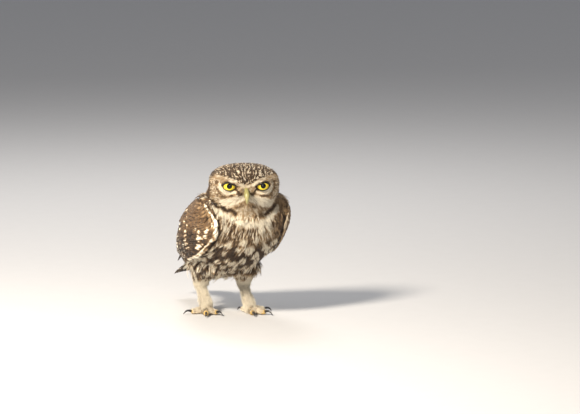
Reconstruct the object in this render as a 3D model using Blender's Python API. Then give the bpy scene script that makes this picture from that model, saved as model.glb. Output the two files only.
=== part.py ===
"""A little owl, life size, standing with its head turned over its right breast.

The owl's body faces -Y, its right side is -X and +Z is up. Lengths are metres, written as
millimetres times MM, and the floor is the plane Z = 0. The sizes below are counted from a point on
the floor between the feet, and the last step moves the origin back to the middle of the owl's length.
"""

import math
import random

import bmesh
import bpy
from mathutils import Matrix, Vector

MM = 0.001
GAP = 0.3 * MM
MIDDLE = Vector((0, 16.6, 0)) * MM
SEED = 7

# Body and neck are one form along a curved centre line, from the root of the tail to inside the head:
# share of the way, y and z of the line, tilt of the ring there, half width, height above and depth below, in mm.
BODY_LINE = (
    (0.00, 55, 42, 10, 2, 2, 2),
    (0.05, 51, 43.5, 12, 11, 9, 13),
    (0.17, 39, 48.5, 20, 24, 18, 24),
    (0.34, 19, 58, 29, 34, 26, 30),
    (0.52, -3, 70, 36, 38.5, 32, 36),
    (0.68, -21, 82, 42, 41, 34, 36),
    (0.80, -32, 93, 50, 42, 32, 33),
    (0.88, -37, 101, 57, 41.5, 30, 27),
    (0.94, -39, 109, 64, 38.5, 28, 22),
    (0.98, -39, 114, 68, 29, 22, 13),
    (1.00, -38, 117, 70, 18, 13, 6),
)
BODY_RINGS = 24
BODY_SIDES = 28
NECK_STEP = 20
NECK_SHIFT = 0.16

# Head: half sizes about a point level with the eyes, in the head's own frame, with the face towards -Y.
HEAD_CENTRE = Vector((0, -39, 122.7)) * MM
HEAD_TURN = math.radians(-20)
HEAD_NOD = math.radians(3)
HEAD_HALF_WIDTH = 31.5 * MM
CROWN_HEIGHT = 16.5 * MM
CHIN_DEPTH = 30 * MM
FACE_DEPTH = 24 * MM
NAPE_DEPTH = 28 * MM
HEAD_SQUARENESS = 2.35
HEAD_SEGMENTS = 34
HEAD_RINGS = 22

EYE_SPACING = 14.6 * MM
EYE_RADIUS = 8.0 * MM
EYE_SETBACK = 14.1 * MM
EYE_SPREAD = math.radians(13)
LID_SETBACK = 5.6 * MM
LID_RADIUS = 6.6 * MM
LID_THICKNESS = 0.95 * MM

# The bill's centre line in the head's frame: share of the way, y, z, half width, half height, in mm.
UPPER_BILL = (
    (0.0, -17, -1.5, 3.4, 4.0),
    (0.35, -25, -2.5, 3.5, 3.9),
    (0.62, -30.3, -6.0, 3.0, 3.3),
    (0.82, -31.3, -10.3, 2.0, 2.3),
    (1.0, -29.6, -15.3, 0.45, 0.5),
)
LOWER_BILL = (
    (0.0, -16, -9.0, 3.1, 2.2),
    (0.6, -24.5, -10.3, 2.8, 1.8),
    (1.0, -28.0, -12.2, 1.2, 0.8),
)
NOSTRIL_RADIUS = 0.8 * MM
NOSTRIL_OUT = 3.3 * MM
NOSTRIL_PLACE = (-26.0 * MM, -1.6 * MM)

# The wing lies on a bed round the body's centre line, carried on past the body to the wing's tip: distance from
# the bend, y and z of the line, tilt, half width, height of the back, lower and upper edge (degrees), in mm.
WING_BED = (
    (0, -43, 107, 60, 37, 27, -14, -4),
    (4, -42.5, 105, 58, 40, 28.5, -26, 8),
    (12, -39, 99, 53, 43.5, 31, -39, 24),
    (20, -33, 92.5, 48, 45.5, 33.5, -42, 38),
    (45, -12, 77, 39, 47, 37, -38, 58),
    (70, 8, 64, 32, 44, 34, -29, 68),
    (95, 29, 53.5, 26, 35.5, 26.5, -17, 72),
    (120, 50, 45.5, 21, 26, 18.5, -4, 70),
    (145, 73, 38.5, 18, 16.5, 12, 12, 64),
    (165, 92, 32.5, 17, 10.5, 8.5, 28, 54),
)
WING_CORE_LENGTH = 98
WING_CORE_STEPS = 12
WING_CORE_ACROSS = 6
WING_CORE_LIFT = ((0, -0.6), (20, -1.5), (50, -2.4), (98, -3.2))
WING_CORE_THICKNESS = ((0, 6), (20, 9), (70, 9.5), (98, 2.5))

# The wing's tiers of feathers, from the lowest tier to the highest. "root", "tip" and "lift" are read along the tier,
# from the feather nearest the wing's lower edge (0) to the one nearest its upper edge (1): the root and the tip as mm
# from the bend and share across the wing, the lift as mm above the bed. A vane's half width is "width" mm, or else
# OVERLAP times the distance to its neighbour, and "lean" mm of it lift its lower edge over that neighbour.
WING_TIERS = {
    "primaries": {
        "count": 6,
        "root": ((0, 80, 0.20), (1, 86, 0.50)),
        "tip": ((0, 140, 0.16), (0.4, 164, 0.42), (1, 127, 0.55)),
        "lift": ((0, -6.6), (1, -2.7)),
        "width": 3.4,
        "lean": 0,
    },
    "secondaries": {
        "count": 8,
        "root": ((0, 70, 0.24), (1, 62, 0.88)),
        "tip": ((0, 122, 0.36), (1, 100, 0.92)),
        "lift": ((0, -1.7), (1, -1.4)),
        "lean": 0.42,
    },
    "primary_coverts": {
        "count": 4,
        "root": ((0, 52, 0.04), (1, 56, 0.22)),
        "tip": ((0, 84, 0.03), (1, 102, 0.24)),
        "lift": ((0, -1.8), (1, -1.6)),
        "lean": 0.42,
    },
    "greater_coverts": {
        "count": 7,
        "root": ((0, 48, 0.26), (1, 42, 0.90)),
        "tip": ((0, 88, 0.31), (1, 76, 0.93)),
        "lift": ((0, -0.2), (1, -0.1)),
        "lean": 0.42,
    },
    "alula": {
        "count": 3,
        "root": ((0, 14, 0.04), (1, 18, 0.16)),
        "tip": ((0, 54, 0.03), (1, 68, 0.17)),
        "lift": ((0, -0.5), (1, -0.3)),
        "lean": 0.42,
    },
    "median_coverts": {
        "count": 6,
        "root": ((0, 26, 0.24), (1, 22, 0.92)),
        "tip": ((0, 62, 0.27), (1, 54, 0.94)),
        "lift": ((0, 1.1), (1, 1.2)),
        "lean": 0.42,
    },
    "lesser_coverts": {
        "count": 6,
        "root": ((0, 4, 0.12), (1, 3, 0.88)),
        "tip": ((0, 38, 0.09), (1, 34, 0.93)),
        "lift": ((0, 1.7), (1, 2.0)),
        "lean": 0.42,
    },
}
OVERLAP = 0.66
ROOT_DEPTH = 3.2
VANE_THICKNESS = 0.5
VANE_SHAPE = ((0, 0.7), (0.45, 1.0), (0.88, 0.9), (1, 0.42))

# Tail: a fan of feathers from a root on the rump.
TAIL_ROOT = Vector((0, 40, 50)) * MM
TAIL_LENGTH = 70 * MM
TAIL_PITCH = math.radians(-24)
TAIL_SWING = math.radians(-11)
TAIL_CORE_LENGTH = 30
TAIL_CORE_WIDTH = ((0, 8), (0.6, 10.5), (1, 9))
TAIL_CORE_THICKNESS = ((0, 7), (0.5, 4.6), (1, 1.3))

# The tail's layers, from the lowest to the highest: how many feathers, length, reach of the fan to each side at the
# root and at the tip, and height above the tail's plane, in mm.
TAIL_LAYERS = {
    "under_coverts": (3, 43, 4, 8, -1.8),
    "tail_feathers": (9, 70, 5, 13, 0.0),
    "upper_coverts": (3, 36, 4, 8, 2.0),
}
TAIL_LEAN = 0.5
TAIL_VANE_SHAPE = ((0, 0.7), (0.5, 1.0), (0.94, 1.0), (1, 0.7))

# Legs, given for the right leg as distances out from the midline; each foot has its own y.
LEG_OUT = 17.5 * MM
FOOT_Y = {"right": 3 * MM, "left": -13 * MM}
HEEL_BACK = 15 * MM
HEEL_HEIGHT = 28 * MM
THIGH_TOP = Vector((0, -6, 52)) * MM
THIGH_RADII = (15 * MM, 7.2 * MM)
ANKLE_HEIGHT = 7.5 * MM
TARSUS_RADII = (5.6 * MM, 4.7 * MM, 6.6 * MM)

# Toes: name, direction from straight ahead (outwards, degrees), reach to the claw, root and tip radius, claw length.
TOES = (
    ("middle", 26, 19, 4.1, 3.3, 9.0),
    ("inner", -14, 16, 3.9, 3.1, 8.5),
    ("outer", 92, 15.5, 3.9, 3.1, 8.0),
    ("hind", 190, 12, 3.6, 2.8, 7.5),
)
TOE_SIDES = 10
TOE_STATIONS = ((0.12, 1), (0.35, 1), (0.6, 1), (0.8, 1), (0.9, 0.95), (0.96, 0.8), (1, 0.5))
CLAW_RADIUS = 1.35 * MM
CLAW_SIDES = 6
CLAW_STATIONS = 5
CLAW_CLEARANCE = 0.6 * MM

COLOURS = {
    "plumage": ((0.33, 0.26, 0.19, 1), 0.85),
    "pale_plumage": ((0.72, 0.66, 0.55, 1), 0.88),
    "wing_plumage": ((0.20, 0.145, 0.10, 1), 0.75),
    "eye": ((0.86, 0.68, 0.05, 1), 0.08),
    "bill": ((0.56, 0.55, 0.34, 1), 0.38),
    "claw": ((0.045, 0.042, 0.045, 1), 0.3),
}
SIDES = {"right": -1, "left": 1}


def clear_scene():
    for item in list(bpy.data.objects):
        bpy.data.objects.remove(item)


def material(name):
    made = bpy.data.materials.get(name)
    if made is None:
        colour, roughness = COLOURS[name]
        made = bpy.data.materials.new(name)
        made.use_nodes = True
        shader = made.node_tree.nodes["Principled BSDF"]
        shader.inputs["Base Color"].default_value = colour
        shader.inputs["Roughness"].default_value = roughness
        shader.inputs["Metallic"].default_value = 0.0
    return made


def as_object(name, mesh, collection, finish=None):
    """The bmesh as an object whose faces point out."""
    bmesh.ops.recalc_face_normals(mesh, faces=mesh.faces)
    bmesh.ops.triangulate(mesh, faces=mesh.faces)
    data = bpy.data.meshes.new(name)
    mesh.to_mesh(data)
    mesh.free()
    made = bpy.data.objects.new(name, data)
    collection.objects.link(made)
    if finish:
        data.materials.append(material(finish))
    return made


def read_table(table, key):
    """The columns of a table of stations at a key, along smooth curves through its rows."""
    last = len(table) - 1
    at = 0
    while at < last - 1 and table[at + 1][0] < key:
        at += 1
    low, high = table[at], table[at + 1]
    span = high[0] - low[0]
    t = min(max((key - low[0]) / span, 0.0), 1.0)
    values = []
    for column in range(1, len(low)):

        def slope(row):
            before, after = table[max(row - 1, 0)], table[min(row + 1, last)]
            return (after[column] - before[column]) / (after[0] - before[0])

        p0, p1 = low[column], high[column]
        m0, m1 = slope(at) * span, slope(at + 1) * span
        values.append(
            (2 * t**3 - 3 * t**2 + 1) * p0
            + (t**3 - 2 * t**2 + t) * m0
            + (3 * t**2 - 2 * t**3) * p1
            + (t**3 - t**2) * m1
        )
    return values


def loft(mesh, rings):
    """Faces between rings of points, closed at both ends by a point at the end ring's middle."""
    rows = [[mesh.verts.new(point) for point in ring] for ring in rings]
    for low, high in zip(rows, rows[1:]):
        for i in range(len(low)):
            j = (i + 1) % len(low)
            mesh.faces.new((low[i], low[j], high[j], high[i]))
    for row in (rows[0], rows[-1]):
        middle = mesh.verts.new(sum((v.co for v in row), Vector()) / len(row))
        for i in range(len(row)):
            mesh.faces.new((row[i], row[(i + 1) % len(row)], middle))


def line_frame(table, key):
    """The centre line's point at a key in mm, its normal towards the owl's back, and the other columns."""
    y, z, tilt, *others = read_table(table, key)
    tilt = math.radians(tilt)
    return Vector((0, y, z)), Vector((0, math.sin(tilt), math.cos(tilt))), others


def body_ring(step, grow):
    """The ring of points round the body at a step along its centre line."""
    middle, above, (width, back, belly) = line_frame(BODY_LINE, step / BODY_RINGS)
    ring = []
    for side in range(BODY_SIDES):
        turn = 2 * math.pi * side / BODY_SIDES
        height = back if math.sin(turn) > 0 else belly
        point = middle * MM + above * (height * MM + grow) * math.sin(turn)
        point.x = (width * MM + grow) * math.cos(turn)
        ring.append(point)
    return ring


def body_mesh(grow=0.0, start=0, end=BODY_RINGS):
    """Body and neck, or the stretch of them between two steps along the centre line."""
    mesh = bmesh.new()
    steps = [start] + [step for step in range(BODY_RINGS + 1) if start < step < end] + [end]
    loft(mesh, [body_ring(step, grow) for step in steps])
    return mesh


def head_matrix():
    turn = Matrix.Rotation(HEAD_TURN, 4, "Z") @ Matrix.Rotation(HEAD_NOD, 4, "X")
    return Matrix.Translation(HEAD_CENTRE) @ turn


def bump(*offsets):
    """1 in the middle, fading to 0: each offset is a distance over its own reach."""
    return math.exp(-sum(offset * offset for offset in offsets))


def face_relief(x, z):
    """How far the face stands forward of its plain form at a place on it, in mm."""
    x = abs(x)
    along_brow = min(max((x - 4) / 23, 0.0), 1.0)
    brow_height = 1.5 + 9.0 * along_brow
    relief = -3.2 * bump((x - 14.6) / 7.5, (z + 0.5) / 7.0)
    relief += 3.0 * bump((z - brow_height) / 2.6, max(x - 24, 0) / 5) * min(x / 5, 1)
    relief += 2.4 * bump(x / 4.5, (z + 3) / 8)
    relief += 1.6 * bump((x - 10) / 7, (z + 13) / 5)
    return relief


def head_point(way, grow):
    """The head's surface in the direction of a unit vector, in the head's own frame."""
    power = HEAD_SQUARENESS
    reach = sum(abs(c) ** power for c in way) ** (-1 / power)
    point = Vector(
        (
            way.x * reach * HEAD_HALF_WIDTH,
            way.y * reach * (FACE_DEPTH if way.y < 0 else NAPE_DEPTH),
            way.z * reach * (CROWN_HEIGHT if way.z > 0 else CHIN_DEPTH),
        )
    )
    ahead = min(max((-way.y - 0.2) / 0.4, 0.0), 1.0)
    point.y -= face_relief(point.x / MM, point.z / MM) * MM * ahead
    return point + way * grow


def head_mesh(grow=0.0):
    mesh = bmesh.new()
    bmesh.ops.create_uvsphere(
        mesh,
        u_segments=HEAD_SEGMENTS,
        v_segments=HEAD_RINGS,
        radius=1,
        matrix=Matrix.Rotation(math.radians(90), 4, "X"),
    )
    for vertex in mesh.verts:
        vertex.co = head_point(vertex.co.normalized(), grow)
    bmesh.ops.transform(mesh, matrix=head_matrix(), verts=mesh.verts)
    return mesh


def eye_place(side):
    return head_matrix() @ Vector((side * EYE_SPACING, -EYE_SETBACK, 0))


def eye_mesh(side, grow=0.0):
    mesh = bmesh.new()
    bmesh.ops.create_uvsphere(
        mesh,
        u_segments=16,
        v_segments=10,
        radius=EYE_RADIUS + grow,
        matrix=Matrix.Translation(eye_place(side)),
    )
    return mesh


def lid_mesh(side):
    """The rim of both lids round an eye, heavier above."""
    mesh = bmesh.new()
    steps = 16
    outward = Vector((side * math.sin(EYE_SPREAD), -math.cos(EYE_SPREAD), 0))
    across = Vector((0, 0, 1)).cross(outward)
    centre = Vector((side * EYE_SPACING, -EYE_SETBACK, 0)) + outward * LID_SETBACK
    rows = []
    for step in range(steps):
        turn = 2 * math.pi * step / steps
        away = across * math.cos(turn) + Vector((0, 0, 1)) * math.sin(turn)
        thick = LID_THICKNESS * (1 + 0.45 * max(math.sin(turn), 0))
        ring = ring_round(centre + away * LID_RADIUS, away, outward, thick, thick * 1.5, 6)
        rows.append([mesh.verts.new(point) for point in ring])
    for row, other in zip(rows, rows[1:] + rows[:1]):
        for i in range(len(row)):
            j = (i + 1) % len(row)
            mesh.faces.new((row[i], row[j], other[j], other[i]))
    bmesh.ops.transform(mesh, matrix=head_matrix(), verts=mesh.verts)
    return mesh


def ring_round(centre, across, upwards, half_width, half_height, sides):
    """Points of an oval round a centre."""
    turns = [2 * math.pi * i / sides for i in range(sides)]
    return [
        centre + across * half_width * math.cos(t) + upwards * half_height * math.sin(t)
        for t in turns
    ]


def bill_mesh(table, grow=0.0):
    """One half of the bill: a horn that follows its centre line."""
    mesh = bmesh.new()
    rings = []
    steps = 9
    across = Vector((1, 0, 0))
    for step in range(steps + 1):
        key = step / steps
        y, z, width, height = read_table(table, key)
        ahead = read_table(table, min(key + 0.05, 1))
        behind = read_table(table, max(key - 0.05, 0))
        along = Vector((0, ahead[0] - behind[0], ahead[1] - behind[1])).normalized()
        upwards = along.cross(across)
        rings.append(
            ring_round(
                Vector((0, y, z)) * MM,
                across,
                upwards,
                width * MM + grow,
                height * MM + grow,
                12,
            )
        )
    loft(mesh, rings)
    bmesh.ops.transform(mesh, matrix=head_matrix(), verts=mesh.verts)
    return mesh


def nostril_mesh(side):
    mesh = bmesh.new()
    bmesh.ops.create_icosphere(mesh, subdivisions=1, radius=NOSTRIL_RADIUS)
    place = head_matrix() @ Matrix.Translation(Vector((side * NOSTRIL_OUT, *NOSTRIL_PLACE)))
    bmesh.ops.transform(mesh, matrix=place, verts=mesh.verts)
    return mesh


def wing_point(distance, share, lift, side):
    """A place on a wing: mm from the bend, share of the way from its lower to its upper edge, mm above the bed."""
    middle, above, (width, back, low, high) = line_frame(WING_BED, distance)
    turn = math.radians(low + (high - low) * share)
    point = middle + above * (back + lift) * math.sin(turn)
    point.x = side * (width + lift) * math.cos(turn)
    return point * MM


def wing_core(side):
    """The wing's own body, which carries the roots of its feathers."""
    mesh = bmesh.new()
    rings = []
    for step in range(WING_CORE_STEPS + 1):
        distance = WING_CORE_LENGTH * step / WING_CORE_STEPS
        (lift,) = read_table(WING_CORE_LIFT, distance)
        (thick,) = read_table(WING_CORE_THICKNESS, distance)
        shares = [i / WING_CORE_ACROSS for i in range(WING_CORE_ACROSS + 1)]
        outer = [wing_point(distance, share, lift, side) for share in shares]
        inner = [wing_point(distance, share, lift - thick, side) for share in shares]
        rings.append(outer + inner[::-1])
    loft(mesh, rings)
    return mesh


def strip(rings):
    """A thin closed strip from rings of low left, low right, high right and high left, split alike on both faces."""
    mesh = bmesh.new()
    rows = [[mesh.verts.new(point) for point in ring] for ring in rings]
    for a, b in zip(rows, rows[1:]):
        for corners in (
            (a[0], a[1], b[1]),
            (a[0], b[1], b[0]),
            (a[2], a[3], b[2]),
            (a[3], b[3], b[2]),
            (a[1], a[2], b[2]),
            (a[1], b[2], b[1]),
            (a[3], a[0], b[0]),
            (a[3], b[0], b[3]),
        ):
            mesh.faces.new(corners)
    for row in (rows[0], rows[-1]):
        mesh.faces.new((row[0], row[1], row[2]))
        mesh.faces.new((row[0], row[2], row[3]))
    return mesh


def bed_span(distance):
    """The distance across the wing from its lower to its upper edge, in mm."""
    _, _, (width, back, low, high) = line_frame(WING_BED, distance)
    return math.radians(high - low) * (width + back) / 2


def wing_vane(side, root, tip, lift, reaches, lean):
    """One feather of the wing: it rises out of the core and lies along the bed, its lower edge over its neighbour."""
    rings = []
    for share, width in VANE_SHAPE:
        distance = root[0] + (tip[0] - root[0]) * share
        across = root[1] + (tip[1] - root[1]) * share
        rise = min(share / 0.45, 1)
        height = lift - ROOT_DEPTH * (1 - rise)
        reach = (reaches[0] + (reaches[1] - reaches[0]) * share) * width
        lower, upper = across - reach / bed_span(distance), across + reach / bed_span(distance)
        tilt = lean * rise
        rings.append(
            [
                wing_point(distance, lower, height + tilt - VANE_THICKNESS, side),
                wing_point(distance, upper, height - tilt - VANE_THICKNESS, side),
                wing_point(distance, upper, height - tilt, side),
                wing_point(distance, lower, height + tilt, side),
            ]
        )
    return strip(rings)


def wing_vanes(side):
    """Every feather of a wing, tier by tier; both wings draw the same small differences."""
    draw = random.Random(SEED)
    for tier in WING_TIERS.values():
        gaps = tier["count"] - 1
        ends = []
        for column in ("root", "tip"):
            first, last = tier[column][0], tier[column][-1]
            middle = (first[1] + last[1]) / 2
            ends.append(OVERLAP * abs(last[2] - first[2]) / gaps * bed_span(middle))
        for i in range(tier["count"]):
            root = read_table(tier["root"], i / gaps)
            tip = read_table(tier["tip"], i / gaps)
            tip[0] += draw.uniform(-1.5, 1.5)
            (lift,) = read_table(tier["lift"], i / gaps)
            reaches = [tier["width"]] * 2 if "width" in tier else ends
            yield wing_vane(side, root, tip, lift, reaches, tier["lean"])


def tail_matrix():
    turn = Matrix.Rotation(TAIL_SWING, 4, "Z") @ Matrix.Rotation(TAIL_PITCH, 4, "X")
    return Matrix.Translation(TAIL_ROOT) @ turn


def tail_core():
    """The root of the tail, which carries its feathers."""
    mesh = bmesh.new()
    rings = []
    steps = 7
    for step in range(steps + 1):
        share = step / steps
        (width,) = read_table(TAIL_CORE_WIDTH, share)
        (thick,) = read_table(TAIL_CORE_THICKNESS, share)
        middle = Vector((0, TAIL_CORE_LENGTH * share, 0)) * MM
        across, upwards = Vector((1, 0, 0)), Vector((0, 0, 1))
        rings.append(ring_round(middle, across, upwards, width * MM, thick * MM, 14))
    loft(mesh, rings)
    bmesh.ops.transform(mesh, matrix=tail_matrix(), verts=mesh.verts)
    return mesh


def tail_vane(place, length, reaches, half_width, height):
    """One feather of the tail, at a place from -1 (right) to 1 (left); the middle ones lie on top."""
    outer = abs(place)
    rings = []
    for share, width in TAIL_VANE_SHAPE:
        x = place * (reaches[0] + (reaches[1] - reaches[0]) * share)
        y = 8 + (length - 3 * outer - 8) * share
        z = height + 1.5 * (1 - outer) - 1.6 * outer * share
        reach = half_width * (0.55 + 0.45 * share) * width
        lean = TAIL_LEAN * ((place > 0) - (place < 0))
        rings.append(
            [
                Vector((x - reach, y, z + lean - VANE_THICKNESS)) * MM,
                Vector((x + reach, y, z - lean - VANE_THICKNESS)) * MM,
                Vector((x + reach, y, z - lean)) * MM,
                Vector((x - reach, y, z + lean)) * MM,
            ]
        )
    mesh = strip(rings)
    bmesh.ops.transform(mesh, matrix=tail_matrix(), verts=mesh.verts)
    return mesh


def tail_vanes():
    for count, length, root_reach, tip_reach, height in TAIL_LAYERS.values():
        half_width = OVERLAP * 2 * tip_reach / (count - 1)
        for i in range(count):
            place = 2 * i / (count - 1) - 1
            yield tail_vane(place, length, (root_reach, tip_reach), half_width, height)


def limb_mesh(stations, sides):
    """A round limb through stations of a point and a radius."""
    mesh = bmesh.new()
    rings = []
    for i, (point, radius) in enumerate(stations):
        before = stations[max(i - 1, 0)][0]
        after = stations[min(i + 1, len(stations) - 1)][0]
        along = (after - before).normalized()
        across = along.cross(Vector((0, 1, 0.3))).normalized()
        upwards = across.cross(along)
        rings.append(ring_round(point, across, upwards, radius, radius, sides))
    loft(mesh, rings)
    return mesh


def ankle_place(which):
    return Vector((SIDES[which] * LEG_OUT, FOOT_Y[which], ANKLE_HEIGHT))


def heel_place(which):
    return Vector((SIDES[which] * LEG_OUT, FOOT_Y[which] + HEEL_BACK, HEEL_HEIGHT))


def rounded(stations, steps):
    """Stations spaced along a straight limb, with its ends drawn in to a dome."""
    (start, first), (end, last) = stations
    made = []
    for step in range(steps + 1):
        share = step / steps
        dome = math.sqrt(max(1 - (2 * share - 1) ** 6, 0.02))
        made.append((start.lerp(end, share), (first + (last - first) * share) * dome))
    return made


def thigh_mesh(which, grow=0.0):
    """The feathered thigh, from inside the belly to the heel."""
    top = THIGH_TOP + Vector((SIDES[which] * LEG_OUT, FOOT_Y[which] * 0.5, 0))
    heel = heel_place(which)
    end = heel + (heel - top).normalized() * 3 * MM
    stations = rounded(((top, THIGH_RADII[0]), (end, THIGH_RADII[1])), 8)
    return limb_mesh([(point, radius + grow) for point, radius in stations], 14)


def tarsus_mesh(which, grow=0.0):
    """The feathered shank, from the heel to the ball of the foot, cut level by the floor."""
    heel, ankle = heel_place(which), ankle_place(which)
    stations = []
    steps = 8
    for step in range(steps + 1):
        share = step / steps
        (radius,) = read_table(
            ((0, TARSUS_RADII[0]), (0.5, TARSUS_RADII[1]), (1, TARSUS_RADII[2])), share
        )
        stations.append((heel.lerp(ankle, share), radius + grow))
    below = ankle - Vector((0, 0, ANKLE_HEIGHT * 0.5))
    stations.append((below, TARSUS_RADII[2] * 0.93 + grow))
    stations.append((ankle - Vector((0, 0, ANKLE_HEIGHT * 0.9)), TARSUS_RADII[2] * 0.6 + grow))
    return limb_mesh(stations, 14)


def toe_way(which, angle):
    """The level direction of a toe."""
    turn = math.radians(angle)
    return Vector((SIDES[which] * math.sin(turn), -math.cos(turn), 0))


def toe_line(which, toe, share):
    """A place on the middle line of a toe: it leaves the ball of the foot and arches down to its tip."""
    _, angle, reach, root, tip, _ = toe
    start = ankle_place(which)
    start.z = 0
    radius = (root + (tip - root) * share) * MM
    height = radius * 0.76 + 0.9 * MM * (1 - share) ** 2
    return start + toe_way(which, angle) * reach * MM * share + Vector((0, 0, height)), radius


def toe_mesh(which, toe, grow=0.0):
    """A feathered toe with a flat sole on the floor."""
    mesh = bmesh.new()
    way = toe_way(which, toe[1])
    across = way.cross(Vector((0, 0, 1)))
    rings = []
    for share, dome in TOE_STATIONS:
        middle, radius = toe_line(which, toe, share)
        ring = ring_round(
            middle, across, Vector((0, 0, 1)), radius * dome + grow, radius * dome + grow, TOE_SIDES
        )
        for point in ring:
            point.z = max(point.z, -grow)
        rings.append(ring)
    loft(mesh, rings)
    return mesh


def claw_mesh(which, toe):
    """A curved claw that grows out of the toe's tip and ends just above the floor."""
    mesh = bmesh.new()
    way = toe_way(which, toe[1])
    across = way.cross(Vector((0, 0, 1)))
    root, radius = toe_line(which, toe, 0.93)
    length = toe[5] * MM
    root.z = max(root.z, radius * 0.9)
    rings = []
    for step in range(CLAW_STATIONS + 1):
        share = step / CLAW_STATIONS
        rise = root.z + length * 0.22 * math.sin(math.pi * min(share * 1.25, 1))
        drop = (root.z - CLAW_CLEARANCE) * share**2.2
        middle = root + way * length * math.sin(share * 1.35) / math.sin(1.35)
        middle.z = rise - drop
        thick = CLAW_RADIUS * (1 - share) ** 0.75 + 0.12 * MM
        slope = math.radians(70) * share
        upwards = Vector((0, 0, math.cos(slope))) + way * math.sin(slope)
        rings.append(ring_round(middle, across, upwards, thick, thick * 1.15, CLAW_SIDES))
    loft(mesh, rings)
    return mesh


def apply_boolean(piece, operation, other=None, collection=None, solver="EXACT"):
    """Cuts a piece by an object, or joins it with a collection, and keeps the result as its mesh."""
    modifier = piece.modifiers.new(operation.lower(), "BOOLEAN")
    modifier.operation = operation
    modifier.solver = solver
    if other:
        modifier.object = other
    else:
        modifier.operand_type = "COLLECTION"
        modifier.collection = collection
    bpy.context.view_layer.update()
    graph = bpy.context.evaluated_depsgraph_get()
    data = bpy.data.meshes.new_from_object(piece.evaluated_get(graph))
    piece.modifiers.remove(modifier)
    piece.data = data


def join_to(piece, meshes, solver="EXACT"):
    """Fuses other forms with a piece."""
    group = bpy.data.collections.new("joined")
    bpy.context.scene.collection.children.link(group)
    for mesh in meshes:
        as_object("joined", mesh, group)
    apply_boolean(piece, "UNION", collection=group, solver=solver)
    for item in list(group.objects):
        bpy.data.objects.remove(item)
    bpy.data.collections.remove(group)


def cut_by(piece, *cutter_meshes):
    """Takes other forms, each already grown by the gap, out of a piece."""
    for mesh in cutter_meshes:
        cutter = as_object("cutter", mesh, cutters)
        apply_boolean(piece, "DIFFERENCE", other=cutter)
        bpy.data.objects.remove(cutter)
    keep_largest(piece)


def keep_largest(piece):
    """Keeps only the largest closed surface of a piece."""
    mesh = bmesh.new()
    mesh.from_mesh(piece.data)
    bmesh.ops.triangulate(mesh, faces=mesh.faces)
    left = set(mesh.verts)
    shells = []
    while left:
        shell = set()
        front = [left.pop()]
        while front:
            vertex = front.pop()
            shell.add(vertex)
            for edge in vertex.link_edges:
                other = edge.other_vert(vertex)
                if other in left:
                    left.remove(other)
                    front.append(other)
        shells.append(shell)

    def surface(shell):
        return sum(face.calc_area() for vertex in shell for face in vertex.link_faces)

    shells.sort(key=surface)
    for shell in shells[:-1]:
        bmesh.ops.delete(mesh, geom=list(shell), context="VERTS")
    mesh.to_mesh(piece.data)
    mesh.free()


def build_body():
    torso = as_object("torso", body_mesh(end=NECK_STEP), owl, "plumage")
    cut_by(torso, head_mesh(GAP))
    neck = as_object("neck", body_mesh(start=NECK_STEP + NECK_SHIFT), owl, "pale_plumage")
    cut_by(neck, head_mesh(GAP))


def build_head():
    head = as_object("head", head_mesh(), owl, "plumage")
    join_to(head, [lid_mesh(side) for side in SIDES.values()])
    for side in SIDES.values():
        cut_by(head, eye_mesh(side, GAP))
    for which, side in SIDES.items():
        as_object(f"eye_{which}", eye_mesh(side), owl, "eye")
    upper = as_object("bill_upper", bill_mesh(UPPER_BILL), owl, "bill")
    cut_by(upper, head_mesh(GAP), *(nostril_mesh(side) for side in SIDES.values()))
    lower = as_object("bill_lower", bill_mesh(LOWER_BILL), owl, "bill")
    cut_by(lower, bill_mesh(UPPER_BILL, GAP), head_mesh(GAP))


def build_wings():
    for which, side in SIDES.items():
        wing = as_object(f"wing_{which}", wing_core(side), owl, "wing_plumage")
        join_to(wing, wing_vanes(side), "MANIFOLD")
        cut_by(wing, body_mesh(GAP), head_mesh(GAP))


def build_tail():
    tail = as_object("tail", tail_core(), owl, "wing_plumage")
    join_to(tail, tail_vanes())
    cut_by(tail, body_mesh(GAP))


def build_legs():
    for which in SIDES:
        thigh = as_object(f"thigh_{which}", thigh_mesh(which), owl, "pale_plumage")
        cut_by(thigh, body_mesh(GAP))
        tarsus = as_object(f"tarsus_{which}", tarsus_mesh(which), owl, "pale_plumage")
        cut_by(tarsus, thigh_mesh(which, GAP), body_mesh(GAP))
        earlier = []
        for toe in TOES:
            name = f"{toe[0]}_toe_{which}"
            piece = as_object(name, toe_mesh(which, toe), owl, "pale_plumage")
            cut_by(piece, tarsus_mesh(which, GAP), *(toe_mesh(which, t, GAP) for t in earlier))
            earlier.append(toe)
            claw = as_object(f"{toe[0]}_claw_{which}", claw_mesh(which, toe), owl, "claw")
            cut_by(claw, toe_mesh(which, toe, GAP))


clear_scene()
owl = bpy.data.collections.new("little_owl")
cutters = bpy.data.collections.new("cutters")
bpy.context.scene.collection.children.link(owl)
bpy.context.scene.collection.children.link(cutters)
build_body()
build_head()
build_wings()
build_tail()
build_legs()
for node in owl.objects:
    node.data.transform(Matrix.Translation(-MIDDLE))
    node.data.shade_smooth()
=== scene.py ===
"""Looks of a little owl, life size, standing with its head turned: skin, plumage, eyes, bill, claws and stage.

The owl faces -Y, its right side is -X and +Z is up. Lengths in the tables are millimetres, counted from the point on the
floor that its solids are counted from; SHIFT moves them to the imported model's frame.
"""

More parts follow.
